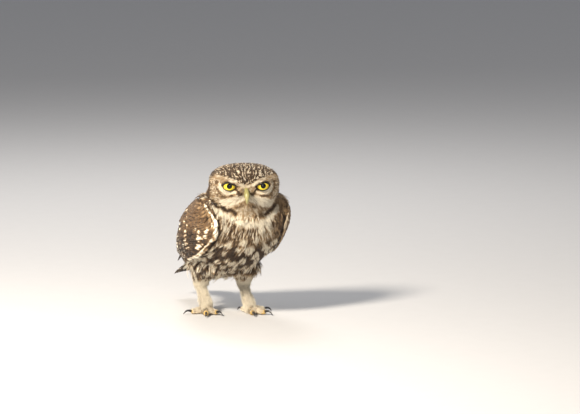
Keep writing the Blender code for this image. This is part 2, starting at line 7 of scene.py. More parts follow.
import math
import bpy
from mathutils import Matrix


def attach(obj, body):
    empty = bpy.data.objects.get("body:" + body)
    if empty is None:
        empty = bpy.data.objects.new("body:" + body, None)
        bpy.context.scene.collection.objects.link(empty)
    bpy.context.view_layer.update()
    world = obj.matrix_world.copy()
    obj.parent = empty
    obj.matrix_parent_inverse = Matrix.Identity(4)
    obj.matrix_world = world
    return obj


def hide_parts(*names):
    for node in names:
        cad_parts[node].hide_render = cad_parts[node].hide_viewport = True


bl_info = {
    "name": "Little Owl",
    "version": (1, 0, 0),
    "blender": (4, 5, 0),
    "location": "3D View > Sidebar > Owl",
    "description": "Skin, plumage, eyes, bill, claws and stage of a little owl",
    "category": "Object",
}

import bmesh
import bpy
import numpy as np
from bpy.props import FloatProperty, FloatVectorProperty, IntProperty, PointerProperty
from mathutils import Matrix, Vector
from mathutils.bvhtree import BVHTree
from mathutils.kdtree import KDTree

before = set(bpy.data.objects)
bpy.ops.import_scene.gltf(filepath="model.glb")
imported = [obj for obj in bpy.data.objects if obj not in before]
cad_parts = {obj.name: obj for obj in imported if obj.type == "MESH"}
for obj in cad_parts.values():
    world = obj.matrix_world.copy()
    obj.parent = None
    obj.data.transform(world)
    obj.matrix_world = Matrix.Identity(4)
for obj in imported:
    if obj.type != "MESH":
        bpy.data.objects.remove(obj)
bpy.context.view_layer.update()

MM = 0.001
SHIFT = np.array((0.0, -16.6, 0.0))

# Body and neck along their centre line: share of the way from the tail, y, z, tilt, half width, back, belly.
BODY_LINE = (
    (0.00, 55, 42, 10, 2, 2, 2),
    (0.05, 51, 43.5, 12, 11, 9, 13),
    (0.17, 39, 48.5, 20, 24, 18, 24),
    (0.34, 19, 58, 29, 34, 26, 30),
    (0.52, -3, 70, 36, 38.5, 32, 36),
    (0.68, -21, 82, 42, 41, 34, 36),
    (0.80, -32, 93, 50, 42, 32, 33),
    (0.88, -37, 101, 57, 41.5, 30, 27),
    (0.94, -39, 109, 64, 38.5, 28, 22),
    (0.98, -39, 114, 68, 29, 22, 13),
    (1.00, -38, 117, 70, 18, 13, 6),
)

HEAD_CENTRE = (0, -39, 122.7)
HEAD_TURN = -20
HEAD_NOD = 3
HEAD_SIZE = (31.5, 24, 28, 16.5, 30)
EYE_PLACE = (14.6, -14.1, 0)
GAZE_SPREAD = 3
EYE_RADIUS = 8.0

UPPER_BILL = (
    (0.0, -17, -3.6, 2.1, 2.6),
    (0.35, -25.0, -3.8, 2.35, 2.8),
    (0.62, -29.6, -6.5, 2.75, 2.5),
    (0.82, -30.8, -10.2, 1.8, 1.8),
    (1.0, -29.5, -14.3, 0.4, 0.45),
)
LOWER_BILL = (
    (0.0, -16, -7.6, 2.4, 2.1),
    (0.6, -24.3, -8.5, 2.1, 1.7),
    (1.0, -27.6, -10.6, 1.0, 0.8),
)
NOSTRILS = (2.9, -26.6, -3.6)

# The bed of the wing: distance from the bend, y, z, tilt, half width, back, lower and upper edge in degrees.
WING_BED = (
    (0, -43, 107, 60, 37, 27, -14, -4),
    (4, -42.5, 105, 58, 40, 28.5, -26, 8),
    (12, -39, 99, 53, 43.5, 31, -39, 24),
    (20, -33, 92.5, 48, 45.5, 33.5, -42, 38),
    (45, -12, 77, 39, 47, 37, -38, 58),
    (70, 8, 64, 32, 44, 34, -29, 68),
    (95, 29, 53.5, 26, 35.5, 26.5, -17, 72),
    (120, 50, 45.5, 21, 26, 18.5, -4, 70),
    (145, 73, 38.5, 18, 16.5, 12, 12, 64),
    (165, 92, 32.5, 17, 10.5, 8.5, 28, 54),
)
WING_CORE = ((0, -0.4, 5), (20, -0.5, 9), (50, -1.4, 9), (70, -3.0, 8), (98, -4.2, 2.5))

# Tiers of a wing, lowest first: count, root and tip as rows of (way along the tier, mm from the bend, share across),
# height above the bed, half width, lean of the lower edge over its neighbour, and looks:
# ground, shaft streak, tip spot, pale lower web, pale upper web, bars.
WING_TIERS = {
    "primaries": (8, ((0, 80, 0.16), (1, 90, 0.52)), ((0, 138, 0.13), (0.45, 165, 0.42), (1, 122, 0.58)),
                  ((0, -5.8), (1, -3.0)), 3.9, 0.22, (0.04, 0.1, 0.0, 0.0, 0.0, 0.66)),
    "secondaries": (11, ((0, 70, 0.24), (1, 62, 0.90)), ((0, 121, 0.36), (1, 99, 0.95)),
                    ((0, -2.2), (1, -1.6)), 4.6, 0.22, (0.06, 0.1, 0.0, 0.0, 0.0, 0.62)),
    "primary_coverts": (6, ((0, 50, 0.07), (1, 58, 0.24)), ((0, 84, 0.08), (1, 102, 0.26)),
                        ((0, -2.0), (1, -1.7)), 3.5, 0.22, (0.09, 0.1, 0.0, 0.35, 0.0, 0.5)),
    "greater_coverts": (11, ((0, 44, 0.22), (1, 40, 0.93)), ((0, 84, 0.27), (1, 76, 0.97)),
                        ((0, -0.9), (1, -0.6)), 4.4, 0.20, (0.06, 0.1, 0.7, 0.0, 0.0, 0.2)),
    "alula": (4, ((0, 14, 0.04), (1, 20, 0.17)), ((0, 62, 0.045), (1, 69, 0.17)),
              ((0, -0.9), (1, -0.9)), 3.0, 0.20, (0.07, 0.1, 0.0, 0.6, 0.0, 0.3)),
    "median_coverts": (11, ((0, 27, 0.16), (1, 24, 0.95)), ((0, 62, 0.17), (1, 57, 0.98)),
                       ((0, -0.2), (1, 0.0)), 4.0, 0.20, (0.10, 0.1, 0.75, 0.0, 0.0, 0.0)),
}
# White spots on the small coverts: mm from the bend, share across, half length and half width in mm.
WING_SPOTS = (
    (38.5, 0.085, 4.6, 2.7), (30.5, 0.185, 3.4, 2.2), (25, 0.125, 2.6, 1.7), (19.5, 0.16, 2.6, 1.7), (25.5, 0.25, 1.9, 1.3),
    (26, 0.33, 1.9, 1.2), (40, 0.385, 2.6, 1.2), (43, 0.335, 2.8, 1.3), (46, 0.28, 3.0, 1.3), (49, 0.225, 3.0, 1.2),
    (51, 0.17, 2.6, 1.1), (12, 0.12, 1.6, 1.0), (58, 0.72, 2.4, 1.5), (60, 0.86, 2.2, 1.3), (72, 0.80, 2.6, 1.5),
    (33, 0.47, 1.8, 1.0), (31, 0.62, 1.6, 0.9), (38, 0.56, 2.0, 1.1), (36, 0.76, 1.9, 1.0), (47, 0.83, 2.0, 1.2),
)
WHITE_EDGE = ((2.5, 24), (3.2, 12), (5, 4), (9, 1.1), (20, 0.9), (45, 0.9), (66, 0.8))
WING_VANE = ((0, 0.55), (0.3, 0.9), (0.6, 1.0), (0.85, 0.86), (1, 0.28))

TAIL_ROOT = (0, 40, 50)
TAIL_PITCH = -24
TAIL_SWING = -11
# Layers of the tail: count, length, reach of the fan to each side at root and tip, height, half width, looks.
TAIL_LAYERS = {
    "under_coverts": (7, 45, 5, 10, -2.6, 4.4, (0.95, 0.12, 0.0, 0.0, 0.0, 0.0)),
    "tail_feathers": (12, 70, 5, 14, 0.0, 3.3, (0.06, 0.1, 0.0, 0.0, 0.0, 1.0)),
    "upper_coverts": (9, 38, 5, 10, 2.4, 3.2, (0.06, 0.1, 0.45, 0.0, 0.0, 0.35)),
}

LEG_OUT = 17.5
FOOT_Y = {"right": 3, "left": -13}
HEEL = (15, 28)
THIGH_TOP = (-6, 52)
ANKLE_HEIGHT = 7.5
TOES = (
    ("middle", 26, 19, 4.1, 3.3, 9.0),
    ("inner", -14, 16, 3.9, 3.1, 8.5),
    ("outer", 92, 15.5, 3.9, 3.1, 8.0),
    ("hind", 190, 12, 3.6, 2.8, 7.5),
)
CLAW_RADIUS = 1.35
SIDES = {"right": -1, "left": 1}
FLESH = ["head", "neck", "torso"]
FLESH += [f"{part}_{which}" for which in SIDES for part in ("thigh", "tarsus")]
FLESH += [f"{toe[0]}_toe_{which}" for which in SIDES for toe in TOES]

made = {}


class OwlSizes(bpy.types.PropertyGroup):
    body_depth: FloatProperty(
        name="Body coat", description="Depth of the plumage on the body", default=0.0038, unit="LENGTH"
    )
    head_depth: FloatProperty(
        name="Head coat", description="Depth of the plumage on the crown", default=0.0022, unit="LENGTH"
    )
    leg_depth: FloatProperty(
        name="Leg coat", description="Depth of the plumage on the shanks", default=0.0013, unit="LENGTH"
    )
    skin_voxel: FloatProperty(
        name="Skin grain", description="Size of the grid that the skin is made on", default=0.0011, unit="LENGTH"
    )
    body_spacing: FloatProperty(
        name="Body spacing", description="Distance between tufts on the body", default=0.00135, unit="LENGTH"
    )
    head_spacing: FloatProperty(
        name="Head spacing", description="Distance between tufts on the crown", default=0.00085, unit="LENGTH"
    )
    face_spacing: FloatProperty(
        name="Face spacing", description="Distance between tufts on the face and legs", default=0.00068, unit="LENGTH"
    )
    blades: IntProperty(name="Blades", description="Blades in each body tuft", default=7, min=3, max=9)
    seed: IntProperty(name="Seed", description="Start of every random draw", default=7)


class OwlColours(bpy.types.PropertyGroup):
    dark: FloatVectorProperty(
        name="Dark", description="Darkest brown of the plumage", default=(0.023, 0.0125, 0.006), subtype="COLOR"
    )
    brown: FloatVectorProperty(
        name="Brown", description="Brown ground of the plumage", default=(0.112, 0.063, 0.030), subtype="COLOR"
    )
    buff: FloatVectorProperty(
        name="Buff", description="Buff between brown and white", default=(0.43, 0.285, 0.145), subtype="COLOR"
    )
    white: FloatVectorProperty(
        name="White", description="White of the plumage", default=(0.93, 0.84, 0.665), subtype="COLOR"
    )
    iris: FloatVectorProperty(
        name="Iris", description="Yellow of the eyes", default=(0.70, 0.58, 0.05), subtype="COLOR"
    )
    bill: FloatVectorProperty(
        name="Bill", description="Horn of the bill", default=(0.26, 0.235, 0.085), subtype="COLOR"
    )
    claw: FloatVectorProperty(
        name="Claw", description="Dark horn of the claws", default=(0.022, 0.021, 0.024), subtype="COLOR"
    )
    toe: FloatVectorProperty(
        name="Toe", description="Bare skin of the toes", default=(0.60, 0.41, 0.15), subtype="COLOR"
    )
    floor: FloatVectorProperty(
        name="Floor", description="Floor of the stage", default=(0.52, 0.52, 0.53), subtype="COLOR"
    )


def read_table(table, key):
    """The columns of a table of stations at each key, along smooth curves through its rows."""
    rows = np.array(table, float)
    keys, last = rows[:, 0], len(rows) - 1
    key = np.clip(np.atleast_1d(np.asarray(key, float)), keys[0], keys[-1])
    at = np.clip(np.searchsorted(keys, key, side="right") - 1, 0, last - 1)
    ahead, behind = np.minimum(np.arange(last + 1) + 1, last), np.maximum(np.arange(last + 1) - 1, 0)
    slopes = (rows[ahead, 1:] - rows[behind, 1:]) / (keys[ahead] - keys[behind])[:, None]
    span = (keys[at + 1] - keys[at])[:, None]
    t = ((key - keys[at]) / span[:, 0])[:, None]
    mixed = (2 * t**3 - 3 * t**2 + 1) * rows[at, 1:] + (t**3 - 2 * t**2 + t) * slopes[at] * span
    mixed += (3 * t**2 - 2 * t**3) * rows[at + 1, 1:] + (t**3 - t**2) * slopes[at + 1] * span
    return mixed.T


def smooth(low, high, value):
    """0 below low, 1 above high, and a smooth step between."""
    t = np.clip((value - low) / (high - low), 0.0, 1.0)
    return t * t * (3 - 2 * t)


def sway(points, size, seed):
    """Smooth noise of about -1 to 1 in waves of about the given size in mm."""
    draw = np.random.default_rng(seed)
    total = np.zeros(len(points))
    for _ in range(6):
        way = draw.normal(size=3)
        way *= 2 * math.pi / (size * draw.uniform(0.7, 1.6) * np.linalg.norm(way)) / MM
        total += np.sin(points @ way + draw.uniform(0, 2 * math.pi))
    return total / 2.4


def unit(vectors):
    return vectors / np.maximum(np.linalg.norm(vectors, axis=-1, keepdims=True), 1e-9)


def head_matrix():
    turn = Matrix.Rotation(math.radians(HEAD_TURN), 4, "Z") @ Matrix.Rotation(math.radians(HEAD_NOD), 4, "X")
    return Matrix.Translation(Vector(HEAD_CENTRE) + Vector(SHIFT)) @ turn


def to_head(points):
    """Points in the frame, in metres, as mm in the head's own frame."""
    back = np.array(head_matrix().inverted())
    return points / MM @ back[:3, :3].T + back[:3, 3]


def from_head(point):
    """A point of the head's own frame in mm as a point of the frame in metres."""
    return (head_matrix() @ Vector(point)) * MM


def head_level(local):
    """1 on the plain form of the head, less inside it and more outside."""
    x, y, z = local.T
    width, face, nape, crown, chin = HEAD_SIZE
    parts = np.abs(x / width) ** 2.35
    parts += np.abs(y / np.where(y < 0, face, nape)) ** 2.35
    parts += np.abs(z / np.where(z > 0, crown, chin)) ** 2.35
    return parts ** (1 / 2.35)


def body_place(points):
    """For points in metres: share of the way along the body, angle round it, and level (1 on its form)."""
    local = points / MM - SHIFT
    keys = np.linspace(0, 1, 161)
    y, z, tilt, width, back, belly = read_table(BODY_LINE, keys)
    sine, cosine = np.sin(np.radians(tilt)), np.cos(np.radians(tilt))
    share = np.empty(len(local))
    turn = np.empty(len(local))
    level = np.empty(len(local))
    for start in range(0, len(local), 20000):
        part = local[start : start + 20000]
        dy, dz = part[:, 1:2] - y, part[:, 2:3] - z
        off = np.abs(-cosine * dy + sine * dz)
        height = sine * dy + cosine * dz
        across = part[:, 0:1] / width
        upward = height / np.where(height > 0, back, belly)
        reach = np.hypot(across, upward)
        best = np.argmin(off + 6 * np.abs(reach - 1), axis=1)
        row = np.arange(len(part))
        share[start : start + 20000] = keys[best]
        turn[start : start + 20000] = np.arctan2(upward[row, best], across[row, best])
        level[start : start + 20000] = reach[row, best]
    return share, turn, level


def leg_lines():
    """For each side, the points of top, heel and ankle in mm."""
    lines = {}
    for which, side in SIDES.items():
        top = np.array((side * LEG_OUT, THIGH_TOP[0] + FOOT_Y[which] * 0.5, THIGH_TOP[1]))
        heel = np.array((side * LEG_OUT, FOOT_Y[which] + HEEL[0], HEEL[1]))
        ankle = np.array((side * LEG_OUT, FOOT_Y[which], ANKLE_HEIGHT))
        lines[which] = (top, heel, ankle)
    return lines


def along(points, start, end):
    """Share of the way from start to end, clamped, and the distance from that line."""
    way = end - start
    t = np.clip(((points - start) @ way) / (way @ way), 0, 1)
    return t, np.linalg.norm(points - start - t[:, None] * way, axis=1)


def toe_way(which, angle):
    turn = math.radians(angle)
    return np.array((SIDES[which] * math.sin(turn), -math.cos(turn), 0.0))


def toe_line(which, toe, share):
    """A place on the middle line of a toe in mm, and the toe's radius there."""
    _, angle, reach, root, tip, _ = toe
    radius = root + (tip - root) * share
    start = np.array((SIDES[which] * LEG_OUT, FOOT_Y[which], 0.0))
    height = radius * 0.76 + 0.9 * (1 - share) ** 2
    return start + toe_way(which, angle) * reach * share + np.array((0, 0, height)), radius


def opening(inward, up):
    """Reach in mm of the lids' opening from the eye's middle, along a unit direction towards the bill and upwards."""
    inward, up = np.asarray(inward, float), np.asarray(up, float)
    top = 2.95 - 1.75 * np.maximum(inward, 0) ** 1.1 - 0.2 * np.maximum(-inward, 0)
    return 5.3 / np.hypot(inward, up * 5.3 / np.where(up > 0, top, 3.2))


def eye_gap(local):
    """Millimetres from the nearer eye's opening, for places in the head's frame; far away behind the face."""
    inward, up = EYE_PLACE[0] - np.abs(local[:, 0]), local[:, 2] - EYE_PLACE[2]
    off = np.maximum(np.hypot(inward, up), 1e-6)
    return np.where(local[:, 1] < -5, off - opening(inward / off, up / off), 99.0)


def regions(points):
    """What each point on the skin belongs to, as shares from 0 to 1: head, thigh, shank, toe and bare toe tip."""
    local = points / MM - SHIFT
    x, y, z = local.T
    head = 1 - smooth(1.0, 1.08, head_level(to_head(points)))
    thigh, shank, toe, bare = (np.zeros(len(points)) for _ in range(4))
    for which, (top, heel, ankle) in leg_lines().items():
        _, far = along(local, top, heel)
        _, near = along(local, heel, ankle)
        beside = x * SIDES[which] > 0
        thigh = np.where(beside, np.maximum(thigh, (z < 46) * smooth(50, 44, z) * (far < 17)), thigh)
        shank = np.where(beside & (near < 9.5), np.maximum(shank, smooth(31, 26, z)), shank)
        for kind in TOES:
            start, _ = toe_line(which, kind, 0.0)
            end, radius = toe_line(which, kind, 1.0)
            t, off = along(local, start, end)
            on = (off < 5.2) & (t > 0.25) & (z < 9.5)
            toe = np.where(on, np.maximum(toe, smooth(0.3, 0.5, t)), toe)
            tip = smooth(0.72, 0.9, t) + smooth(1.3, 0.5, z)
            bare = np.where(on | ((z < 1.0) & (off < 6)), np.maximum(bare, np.clip(tip, 0, 1)), bare)
    return {"head": head, "thigh": thigh * (1 - shank), "shank": shank * (1 - toe), "toe": toe, "bare": bare}


def coat_depth(points):
    """How deep the coat lies over the skin at each point, in metres."""
    sizes = bpy.context.scene.owl_sizes
    share = regions(points)
    local = to_head(points)
    x, y, z = np.abs(local[:, 0]), local[:, 1], local[:, 2]
    face = smooth(-6, -18, y) * share["head"]
    depth = np.full(len(points), sizes.body_depth)
    depth = depth + (sizes.head_depth - depth) * share["head"]
    depth = depth + (0.0012 - depth) * face
    depth = depth + (0.0026 - depth) * share["thigh"]
    depth = depth + (sizes.leg_depth - depth) * share["shank"]
    depth = depth + (0.0009 - depth) * share["toe"]
    depth = depth + (0.0005 - depth) * share["bare"]
    eye = np.linalg.norm(np.stack((x, y, z), 1) - np.array((14.6, -14.1, 0)), axis=1)
    depth = depth * (0.1 + 0.9 * smooth(8.6, 11.5, np.where(share["head"] > 0.5, eye, 99)))
    bill = np.linalg.norm(np.stack((x, y, z), 1) - np.array((0, -24, -6)), axis=1)
    depth = depth * (0.5 + 0.5 * smooth(4, 9, np.where(share["head"] > 0.5, bill, 99)))
    return depth * (0.08 + 0.92 * smooth(0.004, 0.007, bed_distance(points)))


def tuft_depth(points):
    """How high the tufts stand over the skin: the coat's depth, and fluffier on the shanks."""
    share = regions(points)
    depth = np.maximum(coat_depth(points), 0.0013 * (share["head"] < 0.5) * (1 - share["toe"]))
    return depth + 0.0013 * share["shank"] * smooth(0.008, 0.014, points[:, 2])


def lie(points, normals):
    """The way that the coat lies at each point: a unit vector along the skin."""
    share = regions(points)
    place, turn, _ = body_place(points)
    ahead = read_table(BODY_LINE, np.clip(place + 0.02, 0, 1))
    behind = read_table(BODY_LINE, np.clip(place - 0.02, 0, 1))
    body = np.stack((np.zeros(len(points)), behind[0] - ahead[0], behind[1] - ahead[1]), 1)
    body = unit(body)
    hang = 0.8 * smooth(0.054, 0.044, points[:, 2]) * smooth(0.16, 0.26, place)
    body = unit(body * (1 - hang)[:, None] + np.array((0, 0.15, -1.0)) * hang[:, None])
    low = smooth(0.2, -0.6, np.sin(turn))
    body[:, 0] += 0.32 * np.sign(points[:, 0]) * smooth(0, 12, np.abs(points[:, 0]) / MM) * low * (1 - hang)
    local = to_head(points)
    x, y, z = local.T
    side = np.where(x < 0, -1.0, 1.0)
    spread = smooth(0.0, 3.0, np.abs(x)) * side
    away = np.stack((x - side * 14.6, np.zeros(len(x)), z - 0.5), 1)
    away = unit(away + np.array((0, 1e-3, 0)))
    # Round the eye the coat lies outwards; over the brow and the moustache it lies out from the bill's root.
    root = np.stack((x, np.zeros(len(x)), z + 4), 1)
    root = unit(root + np.stack((0.2 * spread, np.zeros(len(x)), np.zeros(len(x))), 1))
    eye = np.hypot(np.abs(x) - 14.6, z)
    near = smooth(13, 8.5, eye) * smooth(2.5, -1.0, z - 0.42 * (np.abs(x) - 5))
    face = unit(root * (1 - near)[:, None] + away * near[:, None])
    back = unit(np.stack((0.25 * x / 30, np.ones(len(x)) * 0.9, -0.35 - 0.5 * smooth(5, -15, z)), 1))
    crown = unit(np.stack((0.35 * x / 20, np.full(len(x), 1.0), 0.25 * np.ones(len(x))), 1))
    rest = unit(back + (crown - back) * smooth(4, 12, z)[:, None])
    slope = 0.45 * smooth(12, 6, np.abs(x)) - 0.22 * smooth(11, 17, np.abs(x))
    brow = smooth(3.4, 1.8, near_line(np.abs(x), z, BROW)) * smooth(3, 6, np.abs(x))
    face = unit(face + brow[:, None] * (np.stack((side, np.zeros(len(x)), slope), 1) - face))
    front = smooth(-8, -19, y)[:, None]
    head = unit(face * front + rest * (1 - front))
    head = head @ np.array(head_matrix())[:3, :3].T
    way = body * (1 - share["head"])[:, None] + head * share["head"][:, None]
    local = points / MM - SHIFT
    for which, (top, heel, ankle) in leg_lines().items():
        beside = (points[:, 0] * SIDES[which] > 0)[:, None]
        thigh, shank = unit(heel - top + np.array((0, 0, -30.0))), unit(ankle - heel + np.array((0, 0, -6.0)))
        on = share["thigh"][:, None] * beside
        way = way * (1 - on) + thigh * on
        on = share["shank"][:, None] * beside
        way = way * (1 - on) + shank * on
        for kind in TOES:
            start, _ = toe_line(which, kind, 0.2)
            end, _ = toe_line(which, kind, 1.0)
            _, off = along(local, start, end)
            on = (share["toe"] * (off < 5.2))[:, None] * beside
            way = way * (1 - on) + toe_way(which, kind[1]) * on
    flat = way - (way * normals).sum(1)[:, None] * normals
    return unit(flat)


def near_line(x, z, line):
    """Distance from points of a plane to a broken line."""
    best = np.full(len(x), 1e9)
    points = np.stack((x, z), 1)
    for start, end in zip(line, line[1:]):
        start, end = np.array(start, float), np.array(end, float)
        _, off = along(points, start, end)
        best = np.minimum(best, off)
    return best


def paint(ground, value, mask):
    """The ground drawn towards a value where the mask is 1."""
    return ground + (value - ground) * np.clip(mask, 0, 1)


BROW = ((0, 0.0), (5.7, 2.1), (11, 4.7), (16.5, 6.5), (22.5, 7.4), (27.5, 6.7), (31, 5.0))
MOUSTACHE = ((5.5, -10), (13, -13.8), (21.5, -16.6))
UNDER_EYE = ((7.5, -6.4), (13.5, -8.8), (20.6, -9.2))
# Dark bars under the cheeks and the white collar, from the owl's right to its left.
CHEEK_BARS = (((-33, -12.6), (-25.8, -17), (-18.6, -20.6), (-11.9, -22.1), (-9.6, -24)),
              ((18.5, -26.4), (23.4, -24.2), (27.7, -19.6), (31.5, -15)))
COLLAR = ((-29, -18.5), (-24.1, -22.6), (-17.9, -25.8), (-11.7, -29.5), (-5.4, -32.9), (1, -35), (7.4, -35.8), (14.9, -35),
          (20.5, -32.6), (25.4, -28.5), (29.4, -23.7))


def head_marks(points, wander):
    """Ground tone of the head's plumage at each point, from 0 (dark) to 1 (white)."""
    local = to_head(points)
    signed, y, z = local[:, 0] + wander[:, 0], local[:, 1], local[:, 2] + wander[:, 1]
    x = np.abs(signed)
    front = smooth(-3, -12, y)
    # Crown: chains of small pale spots that fan out from the root of the bill.
    ray = unit(np.stack((local[:, 0] + 0.6 * wander[:, 0], -y - 6, z + 10), 1))
    fan = np.arctan2(ray[:, 0], ray[:, 2] + 0.15)
    reach = np.arccos(np.clip(ray[:, 1] * 0.93 - ray[:, 2] * 0.05, -1, 1)) * 27 + 1.3 * sway(points, 6, 12)
    column = fan * 8.4 + 0.42 * sway(points, 8, 13)
    chain = np.floor(column + 0.5)
    spots = np.cos((column - chain) * 2 * math.pi) * 0.5 + 0.5
    beads = np.cos((reach / 3.2 + 0.5 * (chain % 2)) * 2 * math.pi) * 0.5 + 0.5
    ground = 0.10 + 0.86 * smooth(0.47, 0.64, spots * (0.30 + 0.70 * beads) + 0.16 * sway(points, 3.2, 14))
    behind = smooth(6, 16, y)
    ground = paint(ground, 0.20, behind * 0.35)
    # Nape: two dark marks with pale bands round them.
    nape = near_line(x, z, ((3, -9), (14, -4), (26, -8))) + 1.3 * sway(points, 5, 11)
    ground = paint(ground, 0.66 + 0.3 * sway(points, 2.6, 10), behind * smooth(3.8, 2.2, nape))
    mark = np.hypot((x - 12) / 7, (z - 3) / 4.2)
    ground = paint(ground, 0.05, behind * smooth(1.15, 0.75, mark + 0.2 * sway(points, 4, 9)))
    # Face, below the brow.
    low = front * smooth(1.5, 0.0, z - np.interp(x, *np.array(BROW).T))
    eye = np.hypot(x - 14.8, z - 0.2)
    turn = np.arctan2(z, x - 14.8)
    ground = paint(ground, 0.56 + 0.14 * sway(points, 2.6, 15), low)
    streak = np.cos(np.arctan2(x, -(z + 2)) * 30 + 2 * wander[:, 0] + 1.2 * sway(points, 5, 16)) * 0.5 + 0.5
    rings = np.cos((eye + 0.3 * wander[:, 0] + 0.9 * sway(points, 5, 17)) / 1.25 * math.pi) * 0.5 + 0.5
    broken = smooth(-0.5, 0.3, sway(points, 4, 18))
    outer = low * smooth(19.5, 23, x) * smooth(-17, -13, z)
    ground = paint(ground, 0.30 + 0.62 * smooth(0.25, 0.6, rings), outer * (0.35 + 0.65 * broken))
    ground = paint(ground, 0.22, low * smooth(1.4, 0.6, np.abs(eye - 11.0 - 0.5 * sway(points, 4, 19))) * smooth(12, 17, x) * (0.3 + 0.5 * broken))
    ground = paint(ground, 0.89, low * smooth(10.2, 8.8, eye + 0.4 * sway(points, 3, 8)) * smooth(-0.2, 0.5, -turn + 0.5 * (x > 18)))
    ground = paint(ground, 0.66 + 0.12 * sway(points, 2, 7), low * smooth(9.0, 7.0, x) * smooth(-9, -6, z))
    off = near_line(x, z, MOUSTACHE)
    ground = paint(ground, 1.0 - 0.24 * smooth(0.62, 0.95, streak), low * smooth(5.0, 3.6, off + 0.6 * sway(points, 3, 20)))
    ground = paint(ground, 0.14, low * smooth(1.2, 0.5, near_line(x, z, UNDER_EYE)) * (0.4 + 0.6 * broken))
    lore = np.hypot((x - 5.4) / 2.5, (z + 7.0 + 0.3 * (x - 5.4)) / 1.9) + 0.25 * sway(points, 2.2, 6)
    ground = paint(ground, 0.14, low * smooth(1.2, 0.6, lore))
    corner = near_line(x, z, ((9.6, -2.2), (6.2, -5.6))) + 0.3 * sway(points, 2.2, 5)
    ground = paint(ground, 0.10, low * smooth(1.3, 0.7, corner))
    chin = front * smooth(15, 11, x - 0.2 * (z + 18)) * smooth(-16, -18, z)
    ground = paint(ground, 0.65 + 0.12 * smooth(0.35, 0.7, streak) + 0.10 * sway(points, 2.2, 21), chin)
    specks = near_line(x, z, ((3.2, -17.4), (8.4, -19.4))) + 0.5 * sway(points, 2.5, 22)
    ground = paint(ground, 0.26, front * smooth(1.3, 0.6, specks))
    gap = eye_gap(local)
    # The dark rim round each eye opening is its own colour; its widening on top is painted shadow of the brow over the
    # eye.
    ground = paint(ground, 0.0, front * smooth(1.6, 1.1, gap - 1.1 * smooth(-1.0, 1.5, z)))
    band = near_line(x, z, BROW) - 0.8 * smooth(18, 27, x) + 0.4 * sway(points, 4, 23)
    ground = paint(ground, 0.84 - 0.16 * smooth(12, 22, x) + 0.1 * sway(points, 2.5, 27), front * smooth(1.8, 1.1, band))
    # Side of the neck below the cheek, and the collar under the chin.
    under = smooth(-21, -25, z - 0.28 * (np.abs(x) - 18)) * smooth(12, 2, y)
    ground = paint(ground, 0.34 + 0.46 * smooth(0.4, 0.8, streak) + 0.15 * sway(points, 3, 24), under)
    collar = near_line(signed, z, COLLAR) + 0.5 * sway(points, 5, 25)
    ground = paint(ground, 0.60 + 0.36 * smooth(0.2, 0.6, streak), smooth(4.6, 3.4, collar) * smooth(10, 14, x) * smooth(2, -6, y))
    ground = paint(ground, 1.0, smooth(3.8, 2.8, collar) * smooth(6, 2, y))
    bar = np.minimum(*(near_line(signed, z, line) for line in CHEEK_BARS)) + 0.5 * sway(points, 3.5, 26)
    ground = paint(ground, 0.06, smooth(2.1, 1.1, bar) * smooth(7, 2, y))
    # Behind the cheeks, under the ears.
    side = smooth(-8, 0, y) * smooth(20, 10, y) * smooth(0, -5, z)
    return paint(ground, 0.20 + 0.5 * smooth(0.3, 0.6, rings), side * 0.8)


def body_marks(points, across, further, vary, wander):
    """Ground tone of the body's plumage; across and further are mm from the middle of the feather that shows there."""
    share, turn, _ = body_place(points)
    local = points / MM - SHIFT
    up = np.sin(turn)
    belly = smooth(0.30, -0.15, up)
    across = across + 0.9 * sway(points, 7, 31)
    further = further + 1.2 * sway(points, 6, 32)
    wide = 0.78 + 0.5 * vary
    blot = np.hypot(across / (3.4 * wide), (further - 0.3) / (4.9 * wide)) + 0.13 * sway(points, 2.4, 33)
    streak = np.cos((local[:, 0] + 1.3 * sway(points, 9, 34)) * 2 * math.pi / 2.7) * 0.5 + 0.5
    streaked = 0.03 + 0.15 * smooth(0.5, 0.9, streak)
    streaked = paint(streaked, 1.0, smooth(1.08, 0.92, blot))
    shaft = smooth(0.6, 0.2, np.abs(across + 1.4 * (vary - 0.5))) * smooth(-3.5, -1.0, further)
    streaked = paint(streaked, 0.14, shaft * 0.85)
    fine = 0.15 + 0.64 * smooth(0.44, 0.76, streak + 0.26 * sway(points, 5, 35))
    fine = paint(fine, 0.95, smooth(0.85, 0.6, blot) * smooth(0.25, 0.45, vary))
    cream = np.hypot((local[:, 0] - 14) / 10, (share - 0.815) / 0.05)
    fine = paint(fine, 0.55 + 0.35 * streak, 0.75 * smooth(1.2, 0.5, cream))
    # The breast is painted darker towards the owl's left side: painted shade from the head there, together with the
    # darker streaks that side has.
    fine = paint(fine, 0.16, 0.55 * smooth(20, 31, local[:, 0]))
    under = streaked + (fine - streaked) * smooth(0.72, 0.80, share)
    under = paint(under, 0.98, smooth(0.24, 0.15, share))
    hem = smooth(0.037, 0.033, points[:, 2]) * smooth(-0.3, 0.3, sway(points, 5, 39) + 0.5 * sway(points, 2, 40))
    under = paint(under, 0.9, hem)
    spot = np.hypot(across / (1.3 + 1.5 * vary), (further - 2.2) / (1.4 + 1.6 * vary)) + 0.15 * sway(points, 2.4, 36)
    upper = 0.18 + 0.05 * sway(points, 4, 37) + 0.76 * smooth(1.1, 0.85, spot) * smooth(0.16, 0.24, vary)
    ground = upper + (under - upper) * belly
    nape = (1 - belly) * smooth(0.84, 0.90, share)
    patch = 0.15 + 0.80 * smooth(1.2, 0.8, np.hypot(across / 2.4, further / 3.2))
    return paint(ground, patch, nape)


